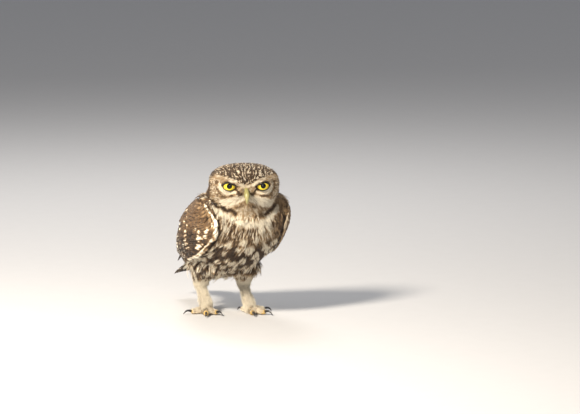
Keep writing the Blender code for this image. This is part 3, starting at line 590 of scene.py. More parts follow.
def marks(points, wander):
    """Ground tone at each point of the skin or of the coat over it."""
    cells = made["cells"]
    share = regions(points)
    near = np.array([cells["tree"].find(point)[1] for point in points.tolist()])
    off = (points - cells["place"][near]) / MM
    sideways = np.cross(cells["normal"][near], cells["way"][near])
    across = (off * sideways).sum(1) + wander[:, 0]
    further = (off * cells["way"][near]).sum(1) + wander[:, 1]
    local = to_head(points)
    head = smooth(1.30, 1.22, head_level(local)) * smooth(-38.5, -37, local[:, 2])
    above = local[:, 2] - np.interp(local[:, 0], *np.array(COLLAR).T)
    collar = smooth(-3.6, -2.4, above) * (local[:, 1] < 2) * (np.abs(local[:, 0]) < 31)
    head = np.where(local[:, 1] < 2, collar, head)
    ground = body_marks(points, across, further, cells["vary"][near], wander)
    ground = paint(ground, head_marks(points, wander), (head > 0.5) * 1.0)
    # Body plumage painted near black within a few mm of the folded wing's lower edge: a painted shadow under the wing.
    edge = np.array([made["edges"].find(point)[2] for point in points.tolist()]) / MM
    ground = paint(ground, 0.03, smooth(3.6, 2.2, edge + 0.3 * wander[:, 0]) * (share["head"] < 0.5))
    ground = paint(ground, 0.97, share["thigh"] * smooth(0.0315, 0.0275, points[:, 2] + 0.0008 * sway(points, 5, 38)))
    ground = paint(ground, 0.99, share["shank"])
    return paint(ground, 0.86, share["toe"])


def skin_bake(points):
    """Where each point lies on an unwrap of the skin: head, body, and each leg have a field of their own."""
    share = regions(points)
    local = to_head(points)
    around = np.arctan2(local[:, 0], -local[:, 1]) / (2 * math.pi) + 0.5
    height = np.arctan2(local[:, 2], np.hypot(local[:, 0], local[:, 1])) / math.pi + 0.5
    head = np.stack((0.01 + 0.48 * around, 0.01 + 0.46 * height), 1)
    place, turn, _ = body_place(points)
    body = np.stack((0.51 + 0.48 * (turn / (2 * math.pi) + 0.5), 0.01 + 0.97 * place), 1)
    flat = points / MM - SHIFT
    uv = np.where((share["head"] > 0.5)[:, None], head, body)
    for which, side in SIDES.items():
        centre = np.array((side * LEG_OUT, FOOT_Y[which] + 4))
        angle = np.arctan2(flat[:, 0] - centre[0], centre[1] - flat[:, 1]) / (2 * math.pi) + 0.5
        reach = np.hypot(*(flat[:, :2] - centre).T) / 40 + flat[:, 2] / 60
        field = np.stack((0.01 + 0.23 * angle + (0.25 if side > 0 else 0), 0.52 + 0.46 * np.clip(reach, 0, 1)), 1)
        on = ((share["thigh"] + share["shank"] + share["toe"] > 0.5) & (flat[:, 0] * side > 0))[:, None]
        uv = np.where(on, field, uv)
    return uv


def link(name, mesh, body="root"):
    piece = bpy.data.objects.new(name, mesh)
    bpy.context.scene.collection.objects.link(piece)
    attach(piece, body)
    return piece


def array_mesh(name, points, triangles):
    """A mesh from an array of points and one of triangles."""
    mesh = bpy.data.meshes.new(name)
    mesh.vertices.add(len(points))
    mesh.vertices.foreach_set("co", points.astype(np.float32).ravel())
    mesh.loops.add(triangles.size)
    mesh.loops.foreach_set("vertex_index", triangles.astype(np.int32).ravel())
    mesh.polygons.add(len(triangles))
    mesh.polygons.foreach_set("loop_start", np.arange(0, triangles.size, 3, dtype=np.int32))
    mesh.update(calc_edges=True)
    mesh.shade_smooth()
    return mesh


def give(mesh, name, values):
    """Stores one number or three for each point of a mesh."""
    kind = "FLOAT" if values.ndim == 1 else "FLOAT_VECTOR"
    held = mesh.attributes.new(name, kind, "POINT")
    held.data.foreach_set("value" if values.ndim == 1 else "vector", values.astype(np.float32).ravel())


def give_uv(mesh, name, values):
    """Stores a UV map from one pair of numbers for each point."""
    layer = mesh.uv_layers.new(name=name)
    corner = np.empty(len(mesh.loops), np.int32)
    mesh.loops.foreach_get("vertex_index", corner)
    layer.uv.foreach_set("vector", values[corner].astype(np.float32).ravel())


# ---------------------------------------------------------------- materials


def socket(group, way, kind, name, default=None):
    made_socket = group.interface.new_socket(name=name, in_out=way, socket_type=kind)
    if default is not None:
        made_socket.default_value = default
    return made_socket


class Wires:
    """Short hand for wiring the nodes of one tree."""

    def __init__(self, tree):
        self.tree = tree

    def node(self, kind, **values):
        made_node = self.tree.nodes.new(kind)
        for name, value in values.items():
            setattr(made_node, name, value)
        return made_node

    def put(self, target, source):
        if isinstance(source, (int, float, tuple)):
            target.default_value = source
        else:
            self.tree.links.new(source, target)

    def maths(self, operation, *values, clamp=False):
        made_node = self.node("ShaderNodeMath", operation=operation, use_clamp=clamp)
        for target, value in zip(made_node.inputs, values):
            self.put(target, value)
        return made_node.outputs[0]

    def step(self, value, low, high, to_low=0.0, to_high=1.0):
        made_node = self.node("ShaderNodeMapRange", interpolation_type="SMOOTHSTEP")
        for target, source in zip(made_node.inputs, (value, low, high, to_low, to_high)):
            self.put(target, source)
        return made_node.outputs[0]

    def mix(self, share, low, high, blend="MIX"):
        made_node = self.node("ShaderNodeMix", data_type="RGBA", blend_type=blend)
        self.put(made_node.inputs[0], share)
        self.put(made_node.inputs[6], low)
        self.put(made_node.inputs[7], high)
        return made_node.outputs[2]

    def noise(self, vector, scale, detail=2.0, roughness=0.5):
        made_node = self.node("ShaderNodeTexNoise")
        self.put(made_node.inputs["Vector"], vector)
        self.put(made_node.inputs["Scale"], scale)
        self.put(made_node.inputs["Detail"], detail)
        self.put(made_node.inputs["Roughness"], roughness)
        return made_node.outputs[0]


def plumage_group():
    """Feather colours and barbs from the marks that each feather carries."""
    found = bpy.data.node_groups.get("PlumageMarks")
    if found:
        return found
    group = bpy.data.node_groups.new("PlumageMarks", "ShaderNodeTree")
    for name in ("Vane", "Marks", "Trim", "Place"):
        socket(group, "INPUT", "NodeSocketVector", name)
    socket(group, "INPUT", "NodeSocketFloat", "Tone", 0.5)
    for name in ("Dark", "Brown", "Buff", "White"):
        socket(group, "INPUT", "NodeSocketColor", name)
    socket(group, "OUTPUT", "NodeSocketColor", "Colour")
    socket(group, "OUTPUT", "NodeSocketFloat", "Height")
    wires = Wires(group)
    inlet, outlet = wires.node("NodeGroupInput"), wires.node("NodeGroupOutput")
    vane = wires.node("ShaderNodeSeparateXYZ")
    wires.put(vane.inputs[0], inlet.outputs["Vane"])
    u, v = vane.outputs[0], vane.outputs[1]
    told = wires.node("ShaderNodeSeparateXYZ")
    wires.put(told.inputs[0], inlet.outputs["Marks"])
    ground, streak, spot = told.outputs
    trim = wires.node("ShaderNodeSeparateXYZ")
    wires.put(trim.inputs[0], inlet.outputs["Trim"])
    lower, upper, bars = trim.outputs
    tone = inlet.outputs["Tone"]
    rough = wires.noise(inlet.outputs["Place"], 1100.0, 2.0)
    broad = wires.noise(inlet.outputs["Place"], 260.0, 2.0)
    jag = wires.maths("SUBTRACT", rough, 0.5)
    signed = wires.maths("MULTIPLY", wires.maths("SUBTRACT", u, 0.5), 2.0)
    aside = wires.maths("ABSOLUTE", signed)
    frayed = wires.maths("ADD", aside, wires.maths("MULTIPLY", jag, 0.5))
    # Base colour from the ground tone.
    drift = wires.maths("MULTIPLY", wires.maths("SUBTRACT", tone, 0.5), 0.16)
    drift = wires.maths("ADD", drift, wires.maths("MULTIPLY", wires.maths("SUBTRACT", broad, 0.5), 0.22))
    level = wires.maths("ADD", ground, drift, clamp=True)
    colour = wires.mix(wires.step(level, 0.0, 0.22), inlet.outputs["Dark"], inlet.outputs["Brown"])
    colour = wires.mix(wires.step(level, 0.22, 0.62), colour, inlet.outputs["Buff"])
    colour = wires.mix(wires.step(level, 0.55, 0.95), colour, inlet.outputs["White"])
    # Pale webs, bars, tip spot and shaft streak.
    sag = wires.maths("MULTIPLY", aside, -0.35)
    run = wires.maths("ADD", wires.maths("MULTIPLY", v, 5.2), wires.maths("ADD", sag, wires.maths("MULTIPLY", tone, 0.8)))
    wave = wires.maths("SINE", wires.maths("MULTIPLY", run, 2 * math.pi))
    wave = wires.maths("ADD", wave, wires.maths("MULTIPLY", jag, 0.9))
    bulge = wires.maths("MULTIPLY", wires.maths("SUBTRACT", aside, 0.62), 2.3)
    wave = wires.maths("SUBTRACT", wave, wires.maths("MULTIPLY", bulge, bulge))
    bar = wires.maths("MULTIPLY", wires.step(wave, 0.3, 0.7), wires.step(aside, 0.1, 0.3))
    bar = wires.maths("MULTIPLY", wires.maths("MULTIPLY", bar, bars), wires.step(v, 0.97, 0.88))
    colour = wires.mix(bar, colour, inlet.outputs["White"])
    low_web = wires.maths("MULTIPLY", wires.step(signed, -0.42, -0.74), lower)
    colour = wires.mix(low_web, colour, inlet.outputs["White"])
    high_web = wires.maths("MULTIPLY", wires.step(signed, 0.2, 0.6), upper)
    colour = wires.mix(high_web, colour, inlet.outputs["White"])
    reach = wires.maths("DIVIDE", wires.maths("SUBTRACT", v, 0.80), 0.15)
    reach = wires.maths("SQRT", wires.maths("ADD", wires.maths("MULTIPLY", reach, reach),
                                            wires.maths("MULTIPLY", wires.maths("MULTIPLY", aside, aside), 2.2)))
    reach = wires.maths("ADD", reach, wires.maths("MULTIPLY", jag, 0.45))
    reach = wires.maths("DIVIDE", reach, wires.maths("ADD", wires.maths("MULTIPLY", spot, 0.7), 0.3))
    round_spot = wires.maths("MULTIPLY", wires.step(reach, 1.05, 0.8), wires.step(spot, 0.05, 0.2))
    colour = wires.mix(round_spot, colour, inlet.outputs["White"])
    shaft = wires.maths("MULTIPLY", wires.step(frayed, wires.maths("MULTIPLY", streak, 0.8), 0.0), wires.step(v, 1.0, 0.8))
    shaft = wires.maths("MULTIPLY", shaft, wires.step(streak, 0.02, 0.3, 0.0, 0.8))
    colour = wires.mix(shaft, colour, inlet.outputs["Dark"])
    # Barbs, and darker towards the root.
    slant = wires.maths("ADD", wires.maths("MULTIPLY", v, 26.0), wires.maths("MULTIPLY", aside, -5.0))
    barbs = wires.maths("SINE", wires.maths("MULTIPLY", slant, 2 * math.pi))
    barbs = wires.maths("ADD", wires.maths("MULTIPLY", barbs, 0.5), wires.maths("MULTIPLY", jag, 1.2))
    colour = wires.mix(wires.step(barbs, -1.0, 0.4, 0.22, 0.0), colour, inlet.outputs["Dark"])
    down = wires.step(v, 0.36, 0.0, 0.0, 0.5)
    colour = wires.mix(down, colour, inlet.outputs["Dark"])
    wires.put(outlet.inputs["Colour"], colour)
    wires.put(outlet.inputs["Height"], barbs)
    return group


def principled(material):
    return material.node_tree.nodes["Principled BSDF"]


def new_material(name):
    material = bpy.data.materials.new(name)
    material.use_nodes = True
    return material, Wires(material.node_tree), principled(material)


def bump(wires, shader, height, strength, distance):
    made_node = wires.node("ShaderNodeBump")
    made_node.inputs["Strength"].default_value = strength
    made_node.inputs["Distance"].default_value = distance
    wires.put(made_node.inputs["Height"], height)
    wires.put(shader.inputs["Normal"], made_node.outputs[0])


def plumage_material(name, roughness=0.82, sheen=0.12, relief=0.35):
    found = bpy.data.materials.get(name)
    if found:
        return found
    colours = bpy.context.scene.owl_colours
    material, wires, shader = new_material(name)
    group = wires.node("ShaderNodeGroup", node_tree=plumage_group())
    vane = wires.node("ShaderNodeUVMap", uv_map="Vane")
    wires.put(group.inputs["Vane"], vane.outputs[0])
    for target, source in (("Marks", "marks"), ("Trim", "trim"), ("Tone", "tone")):
        told = wires.node("ShaderNodeAttribute", attribute_name=source)
        wires.put(group.inputs[target], told.outputs["Fac" if source == "tone" else "Vector"])
    place = wires.node("ShaderNodeTexCoord")
    wires.put(group.inputs["Place"], place.outputs["Object"])
    for target, source in (("Dark", colours.dark), ("Brown", colours.brown), ("Buff", colours.buff), ("White", colours.white)):
        group.inputs[target].default_value = (*source, 1)
    wires.put(shader.inputs["Base Color"], group.outputs["Colour"])
    shader.inputs["Roughness"].default_value = roughness
    shader.inputs["Sheen Weight"].default_value = sheen
    shader.inputs["Sheen Roughness"].default_value = 0.5
    shader.inputs["Specular IOR Level"].default_value = 0.25
    bump(wires, shader, group.outputs["Height"], relief, 0.00012)
    return material


def horn_material(name, tint, tip, roughness, stripes):
    """Horn with growth lines along it and a paler or darker tip; "way" on the mesh runs from root to tip."""
    material, wires, shader = new_material(name)
    way = wires.node("ShaderNodeAttribute", attribute_name="way")
    place = wires.node("ShaderNodeTexCoord")
    grain = wires.noise(place.outputs["Object"], stripes, 3.0, 0.6)
    cloud = wires.noise(place.outputs["Object"], stripes * 0.2, 2.0)
    colour = wires.mix(wires.step(way.outputs["Fac"], 0.55, 1.0), (*tint, 1), (*tip, 1))
    colour = wires.mix(wires.step(way.outputs["Fac"], 0.34, 0.05, 0.0, 0.55), colour, tuple(c * 0.42 for c in tint) + (1,))
    colour = wires.mix(wires.step(cloud, 0.35, 0.7, 0.0, 0.3), colour, tuple(c * 0.6 for c in tint) + (1,))
    colour = wires.mix(wires.step(grain, 0.3, 0.7, 0.25, 0.0), colour, tuple(c * 0.5 for c in tint) + (1,))
    # The nostril pits are painted near black: painted shade inside the holes.
    pit = wires.node("ShaderNodeAttribute", attribute_name="pit")
    colour = wires.mix(wires.step(pit.outputs["Fac"], 0.25, 0.6), colour, (0.004, 0.003, 0.003, 1))
    wires.put(shader.inputs["Base Color"], colour)
    wires.put(shader.inputs["Roughness"], wires.step(grain, 0.2, 0.8, roughness - 0.08, roughness + 0.12))
    shader.inputs["Coat Weight"].default_value = 0.25
    shader.inputs["Coat Roughness"].default_value = 0.2
    bump(wires, shader, grain, 0.25, 0.0001)
    return material


# ---------------------------------------------------------------- skin


def wing_point(distance, share, lift, side):
    """Places on a wing in metres: mm from the bend, share from its lower to its upper edge, mm above the bed."""
    distance, share, lift = np.broadcast_arrays(*(np.asarray(value, float) for value in (distance, share, lift)))
    y, z, tilt, width, back, low, high = (column.reshape(distance.shape) for column in read_table(WING_BED, distance.ravel()))
    turn = np.radians(low + (high - low) * share)
    tilt = np.radians(tilt)
    height = (back + lift) * np.sin(turn)
    point = np.stack((side * (width + lift) * np.cos(turn), y + np.sin(tilt) * height, z + np.cos(tilt) * height), -1)
    return (point + SHIFT) * MM


def bed_span(distance):
    """Millimetres across the wing's bed, from its lower to its upper edge."""
    _, _, _, width, back, low, high = read_table(WING_BED, distance)
    return np.radians(high - low) * (width + back) / 2


def make_beds():
    """The surface that the small coverts grow from, with the places of its points on the wing."""
    distances, shares = np.arange(0.5, 96, 0.5), np.linspace(0, 1, 61)
    grid = np.stack(np.meshgrid(distances, shares, indexing="ij"), 2).reshape(-1, 2)
    points, ways, faces = [], [], []
    for side in SIDES.values():
        start = sum(len(part) for part in points)
        points.append(wing_point(grid[:, 0], grid[:, 1], 0.3, side))
        ways.append(unit(wing_point(grid[:, 0] + 2, grid[:, 1], 0.3, side) - wing_point(grid[:, 0] - 0.4, grid[:, 1], 0.3, side)))
        index = start + np.arange(len(grid)).reshape(len(distances), len(shares))
        a, b, c, d = index[:-1, :-1], index[:-1, 1:], index[1:, 1:], index[1:, :-1]
        order = (a, b, c, d) if side > 0 else (a, d, c, b)
        faces.append(np.stack([part.ravel() for part in order], 1))
    points = np.concatenate(points)
    tree = plant(points)
    rim = np.arange(10, 82, 0.5)
    # Points along the wings' lower edges, for the painted shadow on the body beside them.
    made["edges"] = plant(np.concatenate([wing_point(rim, -0.02, 0.0, side) for side in SIDES.values()]))
    faces = np.concatenate(faces)
    made["beds"] = {
        "near": tree,
        "place": np.tile(grid, (2, 1)),
        "way": np.concatenate(ways),
        "tree": BVHTree.FromPolygons(points.tolist(), faces.tolist()),
        "triangles": measure(points[np.concatenate((faces[:, (0, 1, 2)], faces[:, (0, 2, 3)]))]),
    }


def plant(points):
    """A tree to find the nearest of some points."""
    tree = KDTree(len(points))
    for i, point in enumerate(points.tolist()):
        tree.insert(point, i)
    tree.balance()
    return tree


def measure(corners):
    """Corners, areas and normals of triangles."""
    cross = np.cross(corners[:, 1] - corners[:, 0], corners[:, 2] - corners[:, 0])
    return corners, np.linalg.norm(cross, axis=1) / 2, unit(cross)


def bed_index(points):
    near = made["beds"]["near"]
    return np.array([near.find(point)[1] for point in points.tolist()], int)


def bed_distance(points):
    """How far each point is from the nearer wing's bed, in metres."""
    near = made["beds"]["near"]
    return np.array([near.find(point)[2] for point in points.tolist()])


def bed_lie(points, normals):
    way = made["beds"]["way"][bed_index(points)]
    return unit(way - (way * normals).sum(1)[:, None] * normals)


def bed_marks(points, wander):
    """Ground tone of the small coverts: brown, with white spots and the white edge of the wing."""
    at = made["beds"]["place"][bed_index(points)]
    distance, share = at.T
    span = bed_span(distance)
    along_wing = distance + wander[:, 0]
    across = share * span + wander[:, 1]
    cells = made["bed_cells"]
    near = np.array([cells["tree"].find(point)[1] for point in points.tolist()])
    off = (points - cells["place"][near]) / MM
    way = cells["way"][near]
    further = (off * way).sum(1)
    beside = np.linalg.norm(off - further[:, None] * way, axis=1)
    young = smooth(24, 12, distance)
    ground = 0.13 + 0.09 * cells["vary"][near] + 0.06 * sway(points, 5, 41) + 0.10 * smooth(30, 10, distance)
    ground = paint(ground, 0.50, smooth(1.15, 0.6, np.hypot(beside / 0.9, (further - 0.6) / 1.1)) * young)
    high = smooth(0.40, 0.6, share)
    ground = paint(ground, 0.48, smooth(0.9, 0.4, beside + 0.3 * sway(points, 4, 42)) * (0.15 + 0.6 * high) * (1 - young))
    ground = paint(ground, 0.03, smooth(27, 33, distance) * smooth(0.42, 0.28, share) * 0.9)
    for place, spot_share, long, wide in WING_SPOTS:
        spot = 0.24 * sway(points, 3.2, 43) + np.hypot((along_wing - place) / long, (across - spot_share * bed_span(np.full(1, place))[0]) / wide)
        ground = paint(ground, 0.97, smooth(1.12, 0.88, spot))
    edge = near_line(along_wing, across, WHITE_EDGE)
    ground = paint(ground, 0.02, smooth(3.0, 2.3, edge) * smooth(1.2, 2.0, across) * smooth(30, 40, distance))
    thick = 0.9 + 0.6 * smooth(2, 6, distance) * smooth(22, 12, distance)
    # The white edge is painted dimmer on the owl's left wing than on its right: painted shade on the side away from the
    # key light.
    white = np.where(points[:, 0] < 0, 1.0, 0.72)
    return paint(ground, white, smooth(0.3, -0.3, edge - thick + 0.2 * sway(points, 5, 44)))


def bed_depth(points):
    return np.full(len(points), 0.0013)


def bed_bake(points):
    index = bed_index(points)
    at = made["beds"]["place"][index]
    right = index < len(made["beds"]["place"]) // 2
    return np.stack((0.02 + 0.44 * at[:, 1] + np.where(right, 0, 0.5), 0.02 + at[:, 0] / 100), 1)


def wing_core(mesh, side):
    """Adds the flesh of a wing, which lies under its feathers, to a bmesh."""
    rows = []
    shares = np.linspace(0.03, 0.97, 9)
    for distance in np.linspace(1, 96, 20):
        lift, thick = read_table(WING_CORE, distance)[:, 0]
        outer = wing_point(distance, shares, lift, side)
        inner = wing_point(distance, shares[::-1], lift - thick, side)
        rows.append([mesh.verts.new(point) for point in (*outer, *inner)])
    for low, high in zip(rows, rows[1:]):
        for i in range(len(low)):
            j = (i + 1) % len(low)
            mesh.faces.new((low[i], low[j], high[j], high[i]))
    for row in (rows[0], rows[-1]):
        half = len(row) // 2
        for i in range(half - 1):
            mesh.faces.new((row[i], row[i + 1], row[-i - 2], row[-i - 1]))


def make_skin():
    sizes = bpy.context.scene.owl_sizes
    joined = bmesh.new()
    for name in FLESH:
        form = bmesh.new()
        form.from_mesh(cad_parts[name].data)
        bmesh.ops.remove_doubles(form, verts=form.verts, dist=1e-6)
        bmesh.ops.recalc_face_normals(form, faces=form.faces)
        form.normal_update()
        grown = [(vertex, vertex.co + vertex.normal * 0.0004) for vertex in form.verts]
        for vertex, place in grown:
            vertex.co = place
        data = bpy.data.meshes.new("flesh")
        form.to_mesh(data)
        form.free()
        joined.from_mesh(data)
        bpy.data.meshes.remove(data)
    for side in SIDES.values():
        wing_core(joined, side)
    bmesh.ops.recalc_face_normals(joined, faces=joined.faces)
    data = bpy.data.meshes.new("skin")
    joined.to_mesh(data)
    joined.free()
    rough = bpy.data.objects.new("skin_form", data)
    bpy.context.scene.collection.objects.link(rough)
    remesh = rough.modifiers.new("remesh", "REMESH")
    remesh.mode = "VOXEL"
    remesh.voxel_size = sizes.skin_voxel
    bpy.context.view_layer.update()
    graph = bpy.context.evaluated_depsgraph_get()
    mesh = bpy.data.meshes.new_from_object(rough.evaluated_get(graph))
    bpy.data.objects.remove(rough)
    form = bmesh.new()
    form.from_mesh(mesh)
    bmesh.ops.triangulate(form, faces=form.faces)
    for _ in range(5):
        bmesh.ops.smooth_vert(form, verts=form.verts, factor=0.5, use_axis_x=True, use_axis_y=True, use_axis_z=True)
    form.normal_update()
    places = np.array([vertex.co for vertex in form.verts])
    normals = np.array([vertex.normal for vertex in form.verts])
    places -= normals * (coat_depth(places) + 0.0003)[:, None]
    for vertex, place in zip(form.verts, places):
        vertex.co = place
    bmesh.ops.smooth_vert(form, verts=form.verts, factor=0.5, use_axis_x=True, use_axis_y=True, use_axis_z=True)
    form.to_mesh(mesh)
    made["tree"] = BVHTree.FromBMesh(form)
    form.free()
    mesh.name = "skin"
    mesh.shade_smooth()
    return mesh


def scatter(triangles, spacing_of, keep_of, seed):
    """Points spread over triangles no nearer to one another than the spacing, with their normals."""
    draw = np.random.default_rng(seed)
    corners, areas, normals = triangles
    middle = corners.mean(1)
    spacing = spacing_of(middle)
    keep = keep_of(middle)
    chance = np.where(keep, areas / spacing**2, 0) * 4.5
    count = draw.poisson(chance)
    index = np.repeat(np.arange(len(areas)), count)
    draw.shuffle(index)
    a, b = draw.random((2, len(index)))
    flip = a + b > 1
    a, b = np.where(flip, 1 - a, a), np.where(flip, 1 - b, b)
    first, second, third = corners[index, 0], corners[index, 1], corners[index, 2]
    points = first + (second - first) * a[:, None] + (third - first) * b[:, None]
    room = spacing[index]
    size = float(room.max()) if len(room) else 1.0
    grid = {}
    chosen = []
    cells = np.floor(points / size).astype(int)
    listed = points.tolist()
    limits = (room**2).tolist()
    for i, (cx, cy, cz) in enumerate(cells.tolist()):
        px, py, pz = listed[i]
        limit = limits[i]
        clear = True
        for dx in (-1, 0, 1):
            for dy in (-1, 0, 1):
                for dz in (-1, 0, 1):
                    for qx, qy, qz in grid.get((cx + dx, cy + dy, cz + dz), ()):
                        if (px - qx) ** 2 + (py - qy) ** 2 + (pz - qz) ** 2 < limit:
                            clear = False
                            break
                    if not clear:
                        break
                if not clear:
                    break
            if not clear:
                break
        if clear:
            grid.setdefault((cx, cy, cz), []).append((px, py, pz))
            chosen.append(i)
    return points[chosen], normals[index[chosen]]


def under_wing(points, reach=0.0045):
    """True where a folded wing covers the body."""
    distance = bed_distance(points)
    at = made["beds"]["place"][bed_index(points)]
    inside = (at[:, 1] > 0.02) & (at[:, 1] < 0.98) & (at[:, 0] > 5)
    return (distance < reach) & inside


def spread_cells(triangles, spacing, lie_of, keep_of, seed):
    """The feathers whose marks show: a place, normal, lie and a random number each, wider apart than the tufts."""
    places, normals = scatter(triangles, lambda p: np.full(len(p), spacing), keep_of, seed)
    tree = plant(places)
    vary = np.random.default_rng(seed).random(len(places))
    return {"tree": tree, "place": places, "normal": normals, "way": lie_of(places, normals), "vary": vary}


class OWL_OT_skin(bpy.types.Operator):
    """Make one skin from the solids of head, neck, body and legs"""

    bl_idname = "owl.skin"
    bl_label = "Skin"

    def execute(self, context):
        seed = context.scene.owl_sizes.seed
        make_beds()
        mesh = make_skin()
        co = np.empty(len(mesh.vertices) * 3, np.float32)
        mesh.vertices.foreach_get("co", co)
        points = co.reshape(-1, 3).astype(float)
        corner = np.empty(len(mesh.polygons) * 3, np.int32)
        mesh.polygons.foreach_get("vertices", corner)
        triangles = measure(points[corner.reshape(-1, 3)])
        made["cells"] = spread_cells(triangles, 0.0076, lie, lambda p: regions(p)["head"] < 0.5, seed + 1)
        beds = made["beds"]
        made["bed_cells"] = spread_cells(beds["triangles"], 0.0028, bed_lie, lambda p: np.ones(len(p), bool), seed + 2)
        made["on_skin"] = {"tree": made["tree"], "triangles": triangles, "lie": lie, "marks": marks, "depth": tuft_depth,
                           "bake": skin_bake}
        made["on_beds"] = {"tree": beds["tree"], "triangles": beds["triangles"], "lie": bed_lie, "marks": bed_marks,
                           "depth": bed_depth, "bake": bed_bake}
        ground, share = marks(points, np.zeros((len(points), 2))), regions(points)
        zero = np.zeros(len(points))
        give(mesh, "marks", np.stack((ground * 0.85, zero, zero), 1))
        give(mesh, "trim", np.zeros((len(points), 3)))
        give(mesh, "tone", np.full(len(points), 0.4))
        give(mesh, "bare", share["bare"])
        give_uv(mesh, "Vane", np.full((len(points), 2), 0.5))
        piece = link("skin", mesh)
        mesh.materials.append(self.material(context))
        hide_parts(*FLESH)
        return {"FINISHED"}

    def material(self, context):
        """Plumage tones where the coat covers it, scaly yellow skin on the toes, dark skin at the eyes."""
        colours = context.scene.owl_colours
        material = plumage_material("owl_skin", 0.9, 0.0, 0.3)
        wires, shader = Wires(material.node_tree), principled(material)
        colour = shader.inputs["Base Color"].links[0].from_socket
        bare = wires.node("ShaderNodeAttribute", attribute_name="bare")
        place = wires.node("ShaderNodeTexCoord")
        scales = wires.node("ShaderNodeTexVoronoi")
        scales.inputs["Scale"].default_value = 1500.0
        wires.put(scales.inputs["Vector"], place.outputs["Object"])
        toe = wires.mix(wires.step(scales.outputs["Distance"], 0.25, 0.7, 0.0, 0.5), (*colours.toe, 1), tuple(c * 0.6 for c in colours.toe) + (1,))
        wires.put(shader.inputs["Base Color"], wires.mix(bare.outputs["Fac"], colour, toe))
        return material


# ---------------------------------------------------------------- coat

BLADE_STATIONS = np.array((0.0, 0.38, 0.74, 1.0))
BLADE_WIDTHS = np.array((0.55, 1.0, 0.72, 0.0))


def follow(surface, places, normals, lengths, depths, rise):
    """Lines along the lie of the coat from each root: stations (n, 4, 3), normals and ways there."""
    tree, lie_of = surface["tree"], surface["lie"]
    stations = [places - normals * 0.0002]
    ways, ups = [lie_of(places, normals)], [normals]
    ground, up, way = places.copy(), normals.copy(), ways[0]
    for step, share in enumerate(BLADE_STATIONS[1:], 1):
        reach = (share - BLADE_STATIONS[step - 1]) * lengths
        aim = ground + way * reach[:, None]
        found = np.empty_like(aim)
        facing = np.empty_like(aim)
        for i, point in enumerate(aim.tolist()):
            place, normal, _, _ = tree.find_nearest(point)
            found[i] = place
            facing[i] = normal
        up = unit(up * 0.45 + facing * 0.55)
        # A tuft at the rim of its surface goes on past the rim.
        ground = np.where((np.linalg.norm(found - aim, axis=1) > 0.0012)[:, None], aim, found)
        way = unit(lie_of(ground, up) * 0.6 + (way - (way * up).sum(1)[:, None] * up) * 0.4)
        height = depths * (1 - (1 - min(share / 0.75, 1)) ** 2) + rise * max(share - 0.5, 0) * 2
        stations.append(ground + up * height[:, None])
        ways.append(way)
        ups.append(up)
    return np.stack(stations, 1), np.stack(ups, 1), np.stack(ways, 1)


def clump(points):
    """How far each tuft rises in mm and leans sideways, so that tufts gather into the larger feathers of their cells."""
    cells = made["cells"]
    near = np.array([cells["tree"].find(point)[1] for point in points.tolist()])
    off = (points - cells["place"][near]) / MM
    sideways = np.cross(cells["normal"][near], cells["way"][near])
    across, further = (off * sideways).sum(1), (off * cells["way"][near]).sum(1)
    body = 1 - regions(points)["head"]
    rise = (smooth(-4.5, 3.5, further) - 0.35) * (1 - 0.6 * smooth(1.5, 5.0, np.abs(across))) * body
    lean = -0.22 * np.clip(across, -4, 4) * body
    return rise * 0.9 * MM, sideways * (lean * MM)[:, None]


